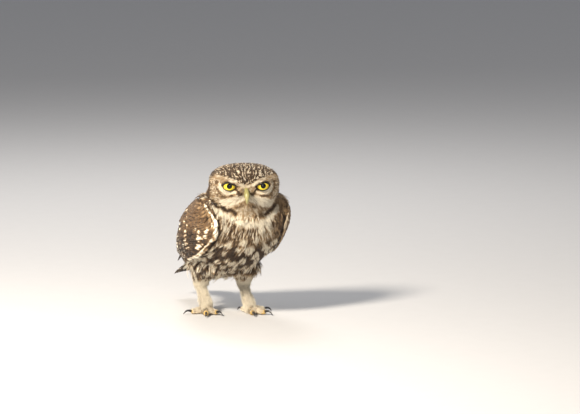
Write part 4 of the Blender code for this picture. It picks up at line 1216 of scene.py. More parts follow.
def tufts(name, surface, places, normals, lengths, widths, thick, rise, blades, seed):
    """One joined mesh of tufts: each is a fan of tapering blades that follow the surface."""
    draw = np.random.default_rng(seed)
    count = len(places)
    lengths = lengths * draw.uniform(0.85, 1.15, count)
    depths = surface["depth"](places) * draw.uniform(0.8, 1.1, count)
    lines, ups, ways = follow(surface, places, normals, lengths, depths, rise * draw.uniform(0.2, 1.4, count))
    if surface is made["on_skin"]:
        lift, lean = clump(lines[:, 3])
        lift = np.maximum(lift, -0.4 * depths)
        lines = lines + (ups * lift[:, None, None] + lean[:, None]) * BLADE_STATIONS[None, :, None]
    tone = draw.random((count, 1)) + draw.uniform(-0.25, 0.25, (count, blades))
    sideways = np.cross(ups, ways)
    across = np.linspace(-1, 1, blades) if blades > 1 else np.zeros(1)
    points, vane, middles = [], [], []
    for blade in range(blades):
        out = across[blade] + draw.uniform(-0.3, 0.3, count)
        short = 1 - 0.16 * out**2 - draw.uniform(0, 0.18, count)
        sink = -0.16 * depths * out**2 + draw.uniform(-0.12, 0.12, count) * depths
        fan = np.array((0.25, 0.7, 0.95, 1.05))
        axis = lines[:, :1] + (lines - lines[:, :1]) * short[:, None, None]
        axis = axis + sideways * (out * widths)[:, None, None] * fan[None, :, None]
        axis = axis + ups * sink[:, None, None] * BLADE_STATIONS[None, :, None]
        half = thick * BLADE_WIDTHS[None, :] * draw.uniform(0.75, 1.25, count)[:, None]
        left = axis - sideways * half[:, :, None] - ups * half[:, :, None] * 0.10
        right = axis + sideways * half[:, :, None] - ups * half[:, :, None] * 0.10
        ridge = axis + ups * half[:, :, None] * 0.25
        rings = np.stack((left[:, :3], ridge[:, :3], right[:, :3]), 2).reshape(count, 9, 3)
        points.append(np.concatenate((rings, axis[:, 3:]), 1))
        u = 0.5 + 0.40 * np.clip(out, -1.1, 1.1)
        uu = np.stack((u[:, None] - 0.02 + np.zeros((1, 3)), u[:, None] + np.zeros((1, 3)), u[:, None] + 0.02 + np.zeros((1, 3))), 2)
        vv = np.repeat(BLADE_STATIONS[:3], 3)[None, :] * short[:, None]
        vane.append(np.concatenate((np.stack((uu.reshape(count, 9), vv), 2), np.stack((u, short), 1)[:, None]), 1))
        middles.append(axis[:, 1:])
    points, vane, middles = np.stack(points, 1), np.stack(vane, 1), np.stack(middles, 1)
    points[..., 2] = np.maximum(points[..., 2], 0.00015)
    wander = np.repeat(draw.normal(0, surface.get("wander", 0.3), (count * blades, 2)), 3, axis=0)
    ground = surface["marks"](middles.reshape(-1, 3), wander).reshape(count, blades, 3)
    ground = ground[:, :, (0, 0, 0, 0, 0, 0, 1, 1, 1, 2)].reshape(-1)
    faces = []
    for ring in (0, 3):
        for i, j in ((0, 1), (1, 2), (2, 0)):
            faces += [(ring + i, ring + j, ring + 3 + j), (ring + i, ring + 3 + j, ring + 3 + i)]
    faces += [(6, 7, 9), (7, 8, 9), (8, 6, 9), (0, 2, 1)]
    faces = np.array(faces)[:, ::-1]
    each = blades * 10
    base = (np.arange(count)[:, None] * each + np.arange(blades)[None, :] * 10)[:, :, None, None]
    triangles = (base + faces[None, None]).reshape(-1, 3)
    mesh = array_mesh(name, points.reshape(-1, 3), triangles)
    give(mesh, "marks", np.stack((ground, ground * 0, ground * 0), 1))
    give(mesh, "trim", np.zeros((len(ground), 3)))
    give(mesh, "tone", np.repeat(np.clip(tone, 0, 1).ravel(), 10))
    flat = vane.reshape(-1, 2)
    give_uv(mesh, "Vane", flat)
    give_uv(mesh, "OFBake", np.repeat(surface["bake"](places), each, axis=0) + (flat - 0.5) * 0.003)
    return mesh


def coat(name, surface, spacing_of, keep_of, length_of, wide, thick, rise, blades, seed, material="owl_plumage"):
    """Grows one kind of coat and parts it into pieces of under 200,000 triangles."""
    places, normals = scatter(surface["triangles"], spacing_of, keep_of, seed)
    lengths = length_of(places, normals)
    parts = max(1, math.ceil(len(places) * blades * 16 / 190000))
    order = np.argsort(places[:, 2] + 0.3 * places[:, 1])
    for part, chosen in enumerate(np.array_split(order, parts)):
        title = f"{name}_{part + 1}"
        widths = np.full(len(chosen), wide)
        mesh = tufts(title, surface, places[chosen], normals[chosen], lengths[chosen], widths, thick, rise, blades, seed + part)
        mesh.materials.append(plumage_material(material))
        link(title, mesh)
        print("coat", title, len(chosen), "tufts", len(mesh.polygons), "triangles")


def on_face(points):
    local = to_head(points)
    return (regions(points)["head"] > 0.5) & (local[:, 1] < -7)


def clear_of_eyes(points):
    local = to_head(points)
    x, y, z = local.T
    return (eye_gap(local) > 0.8) & ((np.abs(x) > 1.6) | (z > -3.5) | (z < -12) | (y > -5))


class OWL_OT_face(bpy.types.Operator):
    """Grow the short plumage of the face and the bristles at the bill"""

    bl_idname = "owl.face"
    bl_label = "Face"

    def execute(self, context):
        sizes = context.scene.owl_sizes

        def length(points, normals):
            local = to_head(points)
            longer = 0.0036 + 0.0034 * smooth(-8, -16, local[:, 2])
            return longer * (0.68 + 0.32 * smooth(0.5, 3.5, eye_gap(local)))

        sheets = [made["on_skin"]["triangles"]] + made["lids"]
        joined = [np.concatenate([sheet[i] for sheet in sheets]) for i in range(3)]
        made["on_face"] = dict(made["on_skin"], triangles=joined)
        made["on_face"]["depth"] = lambda p: tuft_depth(p) + 0.0005 * smooth(0.7, 1.6, eye_gap(to_head(p)))
        spots = joined[0].reshape(-1, 3).tolist()
        made["on_face"]["tree"] = BVHTree.FromPolygons(spots, np.arange(len(spots)).reshape(-1, 3).tolist())

        coat("face_plumage", made["on_face"], lambda p: np.full(len(p), sizes.face_spacing),
             lambda p: on_face(p) & clear_of_eyes(p), length, 0.0006, 0.00013, 0.0003, 3, sizes.seed + 20)

        def by_the_bill(points):
            x, y, z = to_head(points).T
            return (np.abs(x) < 6.5) & (np.abs(x) > 1.5) & (y < -8) & (z > -11) & (z < 0.5)

        def on_brow(points):
            x, y, z = to_head(points).T
            above = z - np.interp(np.abs(x), *np.array(BROW).T)
            return (np.abs(above - 0.6) < 1.4) & (y < -9) & (np.abs(x) > 3.5) & (np.abs(x) < 25)

        coat("brows", made["on_skin"], lambda p: np.full(len(p), 0.00085), on_brow,
             lambda p, n: np.full(len(p), 0.0070), 0.0008, 0.00014, 0.0016, 4, sizes.seed + 27)
        coat("bristles", made["on_skin"], lambda p: np.full(len(p), 0.0010), by_the_bill,
             lambda p, n: np.full(len(p), 0.0058), 0.0004, 0.00008, 0.0022, 2, sizes.seed + 25)
        return {"FINISHED"}


class OWL_OT_crown(bpy.types.Operator):
    """Grow the plumage of the crown and nape"""

    bl_idname = "owl.crown"
    bl_label = "Crown"

    def execute(self, context):
        sizes = context.scene.owl_sizes
        coat("crown_plumage", made["on_skin"], lambda p: np.full(len(p), sizes.head_spacing),
             lambda p: (regions(p)["head"] > 0.5) & ~on_face(p), lambda p, n: np.full(len(p), 0.0056),
             0.0008, 0.00016, 0.0003, 4, sizes.seed + 30)
        return {"FINISHED"}


class OWL_OT_body(bpy.types.Operator):
    """Grow the plumage of neck, breast, belly, back and rump"""

    bl_idname = "owl.body"
    bl_label = "Body"

    def execute(self, context):
        sizes = context.scene.owl_sizes

        def on_body(points):
            share = regions(points)
            return (share["head"] < 0.5) & (share["shank"] < 0.3) & (share["toe"] < 0.2) & ~under_wing(points)

        def length(points, normals):
            hang = smooth(0.056, 0.046, points[:, 2]) * smooth(0.036, 0.041, points[:, 2])
            beside = smooth(0.026, 0.034, np.abs(points[:, 0]))
            long = 0.0098 - 0.0025 * regions(points)["thigh"] + 0.0062 * hang * smooth(0.029, 0.020, np.abs(points[:, 0]))
            long = long - 0.0034 * beside * smooth(0.062, 0.052, points[:, 2])
            tips = points + lie(points, normals) * long[:, None]
            return long * np.where(under_wing(tips, 0.0085), 0.4, 1.0)

        coat("body_plumage", made["on_skin"], lambda p: np.full(len(p), sizes.body_spacing), on_body, length,
             0.0019, 0.00021, 0.0007, sizes.blades, sizes.seed + 40)
        return {"FINISHED"}


class OWL_OT_legs(bpy.types.Operator):
    """Grow the short hair-like plumage of shanks and toes"""

    bl_idname = "owl.legs"
    bl_label = "Legs"

    def execute(self, context):
        sizes = context.scene.owl_sizes

        def on_leg(points):
            share = regions(points)
            return ((share["shank"] > 0.3) | (share["toe"] > 0.2)) & (share["bare"] < 0.45) & (points[:, 2] > 0.0016)

        coat("leg_plumage", made["on_skin"], lambda p: np.full(len(p), sizes.face_spacing), on_leg,
             lambda p, n: 0.0048 - 0.0019 * regions(p)["toe"], 0.0006, 0.00013, 0.0005, 3, sizes.seed + 60)
        return {"FINISHED"}


# ---------------------------------------------------------------- wings and tail


def vane_sheets(tops, normals, thick):
    """Closed feathers from grids of points (n, along, across, 3): each is a lens that thins out to its edges."""
    count, rows, columns, _ = tops.shape
    inner = tops[:, 1:-1, 1:-1] - normals[:, 1:-1, 1:-1] * thick[None, 1:-1, 1:-1, None]
    upper = rows * columns
    each = upper + (rows - 2) * (columns - 2)
    points = np.concatenate((tops.reshape(count, -1, 3), inner.reshape(count, -1, 3)), 1)
    top_index = np.arange(upper).reshape(rows, columns)
    low_index = top_index.copy()
    low_index[1:-1, 1:-1] = upper + np.arange((rows - 2) * (columns - 2)).reshape(rows - 2, columns - 2)
    faces = []
    for i in range(rows - 1):
        for j in range(columns - 1):
            a, b, c, d = top_index[i, j], top_index[i, j + 1], top_index[i + 1, j + 1], top_index[i + 1, j]
            faces += [(a, b, c), (a, c, d)]
            a, b, c, d = low_index[i, j], low_index[i, j + 1], low_index[i + 1, j + 1], low_index[i + 1, j]
            faces += [(a, c, b), (a, d, c)]
    triangles = (np.arange(count)[:, None, None] * each + np.array(faces)[None]).reshape(-1, 3)
    return points.reshape(-1, 3), triangles, each


def finish_vanes(name, tops, normals, side, looks, tones, bakes, rows, columns, flip, ground=None):
    thick = np.sin(np.linspace(0, math.pi, columns))[None, :] * np.sin(np.linspace(0.15, math.pi, rows))[:, None] * 0.00035
    points, triangles, each = vane_sheets(tops, normals, thick)
    if flip:
        triangles = triangles[:, ::-1]
    mesh = array_mesh(name, points, triangles)
    count = len(tops)
    u, v = np.meshgrid(np.linspace(0, 1, columns), np.linspace(0, 1, rows))
    grid = np.stack((u, v), 2)
    one = np.concatenate((grid.reshape(-1, 2), grid[1:-1, 1:-1].reshape(-1, 2)))
    flat = np.tile(one, (count, 1))
    give_uv(mesh, "Vane", flat)
    give_uv(mesh, "OFBake", np.repeat(bakes, each, axis=0) + (flat - 0.5) * 0.003)
    looks = np.array(looks, float)
    marked = np.repeat(looks[:, :3], each, axis=0)
    if ground is not None:
        marked[:, 0] = np.concatenate((ground.reshape(count, -1), ground[:, 1:-1, 1:-1].reshape(count, -1)), 1).ravel()
    give(mesh, "marks", marked)
    give(mesh, "trim", np.repeat(looks[:, 3:], each, axis=0))
    give(mesh, "tone", np.repeat(tones, each))
    mesh.materials.append(plumage_material("owl_quills", 0.84, 0.08, 0.45))
    return mesh


def wing_feathers(side, seed):
    """Every feather of a wing as a grid of points over its bed."""
    draw = np.random.default_rng(seed)
    rows, columns = 11, 7
    tops, normals, looks, tones, bakes = [], [], [], [], []
    v = np.linspace(0, 1, rows)
    for number, (count, roots, tips, lifts, reach, lean, look) in enumerate(WING_TIERS.values()):
        for i in range(count):
            at = i / (count - 1)
            root, tip = read_table(roots, at)[:, 0], read_table(tips, at)[:, 0]
            tip = tip + np.array((draw.uniform(-1.4, 1.4), draw.uniform(-0.006, 0.006)))
            (lift,) = read_table(lifts, at)[:, 0]
            distance = root[0] + (tip[0] - root[0]) * v
            middle = root[1] + (tip[1] - root[1]) * v
            (shape,) = read_table(WING_VANE, v)
            _, _, _, width, back, low, high = read_table(WING_BED, distance)
            span = np.radians(high - low) * (width + back) / 2
            half = reach * draw.uniform(0.93, 1.07) * shape / span
            across = np.linspace(-1, 1, columns)
            share = middle[:, None] + half[:, None] * across[None]
            rise = np.minimum(v / 0.45, 1)
            camber = 0.35 * (1 - across**2)[None] - 0.2
            height = lift - 2.2 * (1 - rise)[:, None] + (camber - lean * across[None] * 1.6) * rise[:, None]
            height = height + draw.uniform(-0.15, 0.15)
            grid_distance = np.repeat(distance[:, None], columns, 1) - 0.35 * reach * (across**2)[None] * v[:, None] ** 3
            tops.append(wing_point(grid_distance, share, height, side))
            above = wing_point(grid_distance, share, height + 1.0, side)
            normals.append(unit(above - tops[-1]))
            row = list(look)
            if number in (2, 4) and i > 0:
                row[3] = 0.0
            if number in (3, 5):
                row[2] *= draw.uniform(0.2, 0.75) if at > 0.3 else draw.uniform(0.0, 0.5)
                row[3] = 0.8 * (draw.random() < 0.6) if at < 0.35 else 0.5 * (draw.random() < 0.3)
            row[0] = float(np.clip(row[0] + draw.uniform(-0.03, 0.03), 0, 1))
            looks.append(row)
            tones.append(draw.random())
            bakes.append((0.02 + 0.9 * (number + 0.1 + 0.8 * at) / 6, 0.05 + 0.8 * root[0] / 100))
    return np.stack(tops), np.stack(normals), looks, np.array(tones), np.array(bakes), rows, columns


def on_shoulder(points):
    distance, share = made["beds"]["place"][bed_index(points)].T
    reach = 40 + 26 * smooth(0.55, 0.75, share) + 16 * smooth(0.06, 0.03, share) + 10 * smooth(0.44, 0.34, share)
    return (distance < reach) & (distance > 0.6)


def small_feathers(side, seed):
    """Small feathers over the front of a wing, each tip over the root of the next, as grids of points with their ground."""
    draw = np.random.default_rng(seed)
    rows, columns = 6, 5
    corners, areas, normals = made["beds"]["triangles"]
    on = corners[:, 0, 0] * side > 0
    places, _ = scatter((corners[on], areas[on], normals[on]), lambda p: np.full(len(p), 0.0023), on_shoulder, seed)
    count = len(places)
    distance, middle = made["beds"]["place"][bed_index(places)].T
    v, across = np.linspace(0, 1, rows), np.linspace(-1, 1, columns)
    long = 7.6 * draw.uniform(0.85, 1.15, count) * (0.55 + 0.45 * smooth(0, 12, distance))
    (shape,) = read_table(WING_VANE, v)
    down = distance[:, None] + long[:, None] * (v - 0.12)
    half = 2.5 * draw.uniform(0.88, 1.12, (count, 1)) * shape * (0.7 + 0.3 * smooth(0, 12, distance))[:, None]
    half = half / bed_span(down.ravel()).reshape(down.shape)
    share = middle[:, None] + draw.normal(0, 0.006, (count, 1)) * v
    share = share[:, :, None] + half[:, :, None] * across
    lift = (-0.25 + 1.2 * v)[:, None] + 0.32 * (1 - across**2) * (0.4 + 0.6 * v[:, None])
    lift = lift * (1 - 0.6 * smooth(42, 56, distance) * smooth(0.2, 0.1, middle))[:, None, None]
    lift = lift + draw.uniform(-0.1, 0.1, (count, 1, 1))
    down = down[:, :, None] - 0.9 * (across**2) * v[:, None] ** 3
    tops = wing_point(down, share, lift, side)
    normals = unit(wing_point(down, share, lift + 1.0, side) - tops)
    ground = bed_marks(tops.reshape(-1, 3), np.zeros((tops.size // 3, 2))).reshape(count, rows, columns)
    looks = np.zeros((count, 6)) + np.array((0, 0.12, 0, 0, 0, 0))
    return tops, normals, ground, looks, draw.random(count), bed_bake(places), rows, columns


class OWL_OT_wings(bpy.types.Operator):
    """Lay the feathers of both folded wings, tier over tier"""

    bl_idname = "owl.wings"
    bl_label = "Wings"

    def execute(self, context):
        for which, side in SIDES.items():
            tops, normals, looks, tones, bakes, rows, columns = wing_feathers(side, context.scene.owl_sizes.seed + 70)
            mesh = finish_vanes(f"wing_feathers_{which}", tops, normals, side, looks, tones, bakes, rows, columns, side > 0)
            piece = link(f"wing_feathers_{which}", mesh)
            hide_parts(f"wing_{which}")
            tops, normals, ground, looks, tones, bakes, rows, columns = small_feathers(side, context.scene.owl_sizes.seed + 50)
            mesh = finish_vanes(f"small_coverts_{which}", tops, normals, side, looks, tones, bakes, rows, columns, side > 0, ground)
            link(f"small_coverts_{which}", mesh)
        return {"FINISHED"}


def tail_matrix():
    turn = Matrix.Rotation(math.radians(TAIL_SWING), 4, "Z") @ Matrix.Rotation(math.radians(TAIL_PITCH), 4, "X")
    return np.array(Matrix.Translation(Vector(TAIL_ROOT) + Vector(SHIFT)) @ turn)


class OWL_OT_tail(bpy.types.Operator):
    """Fan the tail feathers and their coverts"""

    bl_idname = "owl.tail"
    bl_label = "Tail"

    def execute(self, context):
        draw = np.random.default_rng(context.scene.owl_sizes.seed + 80)
        rows, columns = 11, 7
        v, across = np.linspace(0, 1, rows), np.linspace(-1, 1, columns)
        tops, looks, tones, bakes = [], [], [], []
        (shape,) = read_table(((0, 0.6), (0.4, 0.9), (0.85, 1.0), (1, 0.45)), v)
        for layer, (count, length, root_reach, tip_reach, height, reach, look) in enumerate(TAIL_LAYERS.values()):
            for i in range(count):
                place = 2 * i / (count - 1) - 1
                outer = abs(place)
                long = length - 3 * outer + draw.uniform(-0.8, 0.8)
                x = place * (root_reach + (tip_reach - root_reach) * v)
                y = 4 + (long - 4) * v
                z = height + 1.5 * (1 - outer) - 1.6 * outer * v
                grid_x = x[:, None] + reach * shape[:, None] * across[None]
                grid_y = np.repeat(y[:, None], columns, 1) - 0.5 * reach * (across**2)[None] * v[:, None] ** 4
                lean = 0.4 * np.sign(place) * across[None]
                grid_z = z[:, None] + 0.3 * (1 - across**2)[None] - lean + np.zeros((rows, 1))
                tops.append(np.stack((grid_x, grid_y, grid_z), -1))
                looks.append(look)
                tones.append(draw.random())
                bakes.append((0.05 + 0.9 * (place + 1) / 2, 0.1 + 0.3 * layer))
        matrix = tail_matrix()
        grid = (np.stack(tops) @ matrix[:3, :3].T + matrix[:3, 3]) * MM
        normals = np.broadcast_to(matrix[:3, 2], grid.shape)
        mesh = finish_vanes("tail_plumage", grid, normals, 1, looks, np.array(tones), np.array(bakes), rows, columns, False)
        piece = link("tail_plumage", mesh)
        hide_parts("tail")
        return {"FINISHED"}


# ---------------------------------------------------------------- eyes, bill, claws


def grow_horn(mesh, stations, sides):
    """A closed horn through stations (middle, across, upwards, half width, half height), made by extruding a ring."""
    layer = mesh.verts.layers.float.get("way") or mesh.verts.layers.float.new("way")
    ring = bmesh.ops.create_circle(mesh, cap_ends=False, radius=1.0, segments=sides)["verts"]
    edges = list({edge for vertex in ring for edge in vertex.link_edges})
    turns = [2 * math.pi * i / sides for i in range(sides)]
    first = bmesh.ops.edgeloop_fill(mesh, edges=edges)["faces"]
    for number, (middle, sideways, upwards, width, height) in enumerate(stations):
        if number:
            grown = bmesh.ops.extrude_edge_only(mesh, edges=edges)["geom"]
            follow = {}
            for edge in (item for item in grown if isinstance(item, bmesh.types.BMEdge)):
                pass
            fresh = [item for item in grown if isinstance(item, bmesh.types.BMVert)]
            for vertex in fresh:
                for edge in vertex.link_edges:
                    other = edge.other_vert(vertex)
                    if other in ring:
                        follow[other] = vertex
            ring = [follow[vertex] for vertex in ring]
            edges = [item for item in grown if isinstance(item, bmesh.types.BMEdge)]
        for vertex, turn in zip(ring, turns):
            vertex.co = middle + sideways * width * math.cos(turn) + upwards * height * math.sin(turn)
            vertex[layer] = number / (len(stations) - 1)
    bmesh.ops.edgeloop_fill(mesh, edges=edges)
    return first


def bill_stations(table, steps=22):
    stations = []
    for step in range(steps + 1):
        key = step / steps
        y, z, width, height = read_table(table, key)[:, 0]
        ahead, behind = read_table(table, min(key + 0.05, 1))[:, 0], read_table(table, max(key - 0.05, 0))[:, 0]
        way = Vector((0, ahead[0] - behind[0], ahead[1] - behind[1])).normalized()
        sideways = Vector((1, 0, 0))
        stations.append((Vector((0, y, z)), sideways, way.cross(sideways), width, height))
    return stations


def to_object(name, mesh, matrix=None):
    if matrix is not None:
        bmesh.ops.transform(mesh, matrix=matrix, verts=mesh.verts)
    bmesh.ops.recalc_face_normals(mesh, faces=mesh.faces)
    data = bpy.data.meshes.new(name)
    mesh.to_mesh(data)
    mesh.free()
    data.shade_smooth()
    return link(name, data)


class OWL_OT_bill(bpy.types.Operator):
    """Shape the hooked bill, its ridge, cutting edges and nostrils"""

    bl_idname = "owl.bill"
    bl_label = "Bill"

    def execute(self, context):
        tint = tuple(context.scene.owl_colours.bill)
        horn = horn_material("owl_bill", tint, (0.46, 0.41, 0.19), 0.36, 900.0)
        scale = Matrix.Scale(MM, 4)
        for name, table in (("upper_bill", UPPER_BILL), ("lower_bill", LOWER_BILL)):
            mesh = bmesh.new()
            pit = mesh.verts.layers.float.new("pit")
            grow_horn(mesh, bill_stations(table), 28)
            pit = mesh.verts.layers.float["pit"]
            for vertex in mesh.verts:
                # A sharper ridge along the top and flatter flanks.
                if name == "upper_bill":
                    vertex.co.x *= 0.94 + 0.06 * math.cos(vertex.co.x)
            if name == "upper_bill":
                for side in SIDES.values():
                    hole = Vector((side * NOSTRILS[0], NOSTRILS[1], NOSTRILS[2]))
                    for vertex in mesh.verts:
                        off = (vertex.co - hole).length
                        if off < 1.5:
                            vertex.co -= Vector((side, -0.3, 0.3)).normalized() * 0.9 * (1 - off / 1.5)
                            # The pit value sets the painted shade inside each nostril.
                            vertex[pit] = 1 - off / 1.3
            piece = to_object(name, mesh, Matrix(scale) @ head_matrix())
            smoothing = piece.modifiers.new("smooth", "SUBSURF")
            smoothing.levels = smoothing.render_levels = 1
            piece.data.materials.append(horn)
            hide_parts("bill_upper" if name == "upper_bill" else "bill_lower")
        return {"FINISHED"}


class OWL_OT_claws(bpy.types.Operator):
    """Curve the dark claws out of the toes"""

    bl_idname = "owl.claws"
    bl_label = "Claws"

    def execute(self, context):
        tint = tuple(context.scene.owl_colours.claw)
        horn = horn_material("owl_claw", tint, tuple(c * 0.6 for c in tint), 0.3, 1200.0)
        for which in SIDES:
            mesh = bmesh.new()
            for toe in TOES:
                grow_horn(mesh, self.stations(which, toe), 14)
            piece = to_object(f"claws_{which}", mesh, Matrix.Scale(MM, 4) @ Matrix.Translation(Vector(SHIFT)))
            piece.data.materials.append(horn)
            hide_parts(*(f"{toe[0]}_claw_{which}" for toe in TOES))
        return {"FINISHED"}

    def stations(self, which, toe, steps=12):
        way = Vector(toe_way(which, toe[1]))
        across = way.cross(Vector((0, 0, 1)))
        middle, radius = toe_line(which, toe, 0.93)
        root = Vector(middle)
        root.z = max(root.z, radius * 0.9)
        length = toe[5]
        stations = []
        for step in range(steps + 1):
            share = step / steps
            rise = root.z + length * 0.12 * math.sin(math.pi * min(share * 1.25, 1))
            place = root + way * length * math.sin(share * 1.35) / math.sin(1.35)
            place.z = rise - (root.z - 0.6) * share**2.2
            thick = 1.02 * (1 - share) ** 0.7 + 0.1
            slope = math.radians(70) * share
            upwards = Vector((0, 0, math.cos(slope))) + way * math.sin(slope)
            stations.append((place, across, upwards, thick, thick * 1.15))
        return stations


def eye_matrix(side):
    """The frame of an eye: +X along its gaze, +Z up."""
    spread = math.radians(GAZE_SPREAD) * side
    gaze = Vector((math.sin(spread), -math.cos(spread), 0))
    across = Vector((0, 0, 1)).cross(gaze)
    turn = Matrix((gaze, across, Vector((0, 0, 1)))).transposed().to_4x4()
    place = Matrix.Translation(Vector((side * EYE_PLACE[0], EYE_PLACE[1], EYE_PLACE[2])))
    return Matrix.Scale(MM, 4) @ head_matrix() @ place @ turn


class OWL_OT_eyes(bpy.types.Operator):
    """Set the eyes with their lids"""

    bl_idname = "owl.eyes"
    bl_label = "Eyes"

    def execute(self, context):
        for which, side in SIDES.items():
            matrix = eye_matrix(side)
            mesh = bmesh.new()
            bmesh.ops.create_uvsphere(
                mesh, u_segments=64, v_segments=48, radius=EYE_RADIUS, matrix=Matrix.Rotation(math.radians(90), 4, "Y")
            )
            ring = mesh.verts.layers.float.new("ring")
            around = mesh.verts.layers.float.new("around")
            for vertex in mesh.verts:
                off = math.hypot(vertex.co.y, vertex.co.z)
                vertex[ring] = off if vertex.co.x > 0 else 8.0
                vertex[around] = math.atan2(vertex.co.z, vertex.co.y)
                if vertex.co.x > 0 and off < 5.6:
                    vertex.co.x += 0.45 * (1 - (off / 5.6) ** 2) ** 1.5
                    vertex[ring] = math.hypot(vertex.co.y, vertex.co.z - 0.5)
            eye = to_object(f"eyeball_{which}", mesh, matrix)
            eye.data.materials.append(self.material(context))
            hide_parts(f"eye_{which}")
            self.lids(which, side, matrix)
        return {"FINISHED"}

    def material(self, context):
        found = bpy.data.materials.get("owl_eye")
        if found:
            return found
        iris = tuple(context.scene.owl_colours.iris)
        material, wires, shader = new_material("owl_eye")
        ring = wires.node("ShaderNodeAttribute", attribute_name="ring").outputs["Fac"]
        place = wires.node("ShaderNodeTexCoord")
        fibre = wires.noise(place.outputs["Object"], 2200.0, 3.0, 0.6)
        jag = wires.maths("MULTIPLY", wires.maths("SUBTRACT", fibre, 0.5), 0.5)
        edge = wires.maths("ADD", ring, jag)
        colour = wires.mix(wires.step(ring, 2.0, 5.2), tuple(c * 1.0 for c in iris) + (1,), (iris[0] * 0.92, iris[1] * 0.78, iris[2], 1))
        colour = wires.mix(wires.step(fibre, 0.35, 0.7, 0.0, 0.35), colour, (0.66, 0.44, 0.02, 1))
        colour = wires.mix(wires.step(edge, 4.9, 5.4), colour, (0.01, 0.008, 0.006, 1))
        colour = wires.mix(wires.step(ring, 2.55, 2.3), colour, (0.0015, 0.0015, 0.0015, 1))
        wires.put(shader.inputs["Base Color"], colour)
        shader.inputs["Roughness"].default_value = 0.25
        shader.inputs["Coat Weight"].default_value = 1.0
        shader.inputs["Coat Roughness"].default_value = 0.02
        shader.inputs["Coat IOR"].default_value = 1.36
        shader.inputs["Specular IOR Level"].default_value = 0.0
        return material

    def lids(self, which, side, matrix):
        """Dark lids on the eyeball, whose upper edge comes down towards the bill."""
        mesh = bmesh.new()
        count = 48
        ring = bmesh.ops.create_circle(mesh, cap_ends=False, radius=1.0, segments=count)["verts"]
        edges = list({edge for vertex in ring for edge in vertex.link_edges})
        turns = [2 * math.pi * i / count for i in range(count)]

        for number, (grow, height) in enumerate(((0.3, -0.1), (0.0, 0.12), (0.15, 0.40), (0.6, 0.50), (1.3, 0.40), (2.6, 0.0))):
            if number:
                grown = bmesh.ops.extrude_edge_only(mesh, edges=edges)["geom"]
                follow = {}
                for vertex in (item for item in grown if isinstance(item, bmesh.types.BMVert)):
                    for edge in vertex.link_edges:
                        if edge.other_vert(vertex) in ring:
                            follow[edge.other_vert(vertex)] = vertex
                ring = [follow[vertex] for vertex in ring]
                edges = [item for item in grown if isinstance(item, bmesh.types.BMEdge)]
            for vertex, turn in zip(ring, turns):
                off = min(float(opening(-math.cos(turn) * side, math.sin(turn))) + grow, 7.9)
                radius = EYE_RADIUS + 0.15 + height
                ahead = math.sqrt(max(radius**2 - off**2, 0.5))
                vertex.co = Vector((ahead, off * math.cos(turn), off * math.sin(turn)))
        for vertex in mesh.verts:
            vertex.co = matrix @ vertex.co
        mesh.normal_update()
        data = bpy.data.meshes.new(f"lids_{which}")
        outward = sum((face.normal.dot(face.calc_center_median() - matrix.translation) for face in mesh.faces))
        if outward < 0:
            bmesh.ops.reverse_faces(mesh, faces=mesh.faces)
        bmesh.ops.triangulate(mesh, faces=mesh.faces)
        corners = np.array([[vertex.co for vertex in face.verts] for face in mesh.faces])
        made.setdefault("lids", []).append(measure(corners))
        mesh.to_mesh(data)
        mesh.free()
        data.shade_smooth()
        rims = np.array([vertex.co for vertex in data.vertices])
        tone = head_marks(rims, np.zeros((len(rims), 2)))
        rims = to_head(rims)
        give(data, "pale", tone * smooth(1.0, 1.5, eye_gap(rims)) * smooth(8, 11, np.abs(rims[:, 0])))
        piece = link(f"lids_{which}", data)
        wall = piece.modifiers.new("wall", "SOLIDIFY")
        wall.thickness = 0.00025
        wall.offset = -1
        found = bpy.data.materials.get("owl_lid")
        if not found:
            found, wires, shader = new_material("owl_lid")
            place = wires.node("ShaderNodeTexCoord")
            grain = wires.noise(place.outputs["Object"], 2500.0, 2.0)
            pale = wires.node("ShaderNodeAttribute", attribute_name="pale")
            dark = wires.mix(grain, (0.003, 0.0025, 0.002, 1), (0.010, 0.008, 0.006, 1))
            wires.put(shader.inputs["Base Color"], wires.mix(pale.outputs["Fac"], dark, (0.80, 0.72, 0.56, 1)))
            shader.inputs["Roughness"].default_value = 0.45
            shader.inputs["Specular IOR Level"].default_value = 0.25
            bump(wires, shader, grain, 0.4, 0.0001)
        data.materials.append(found)


# ---------------------------------------------------------------- stage


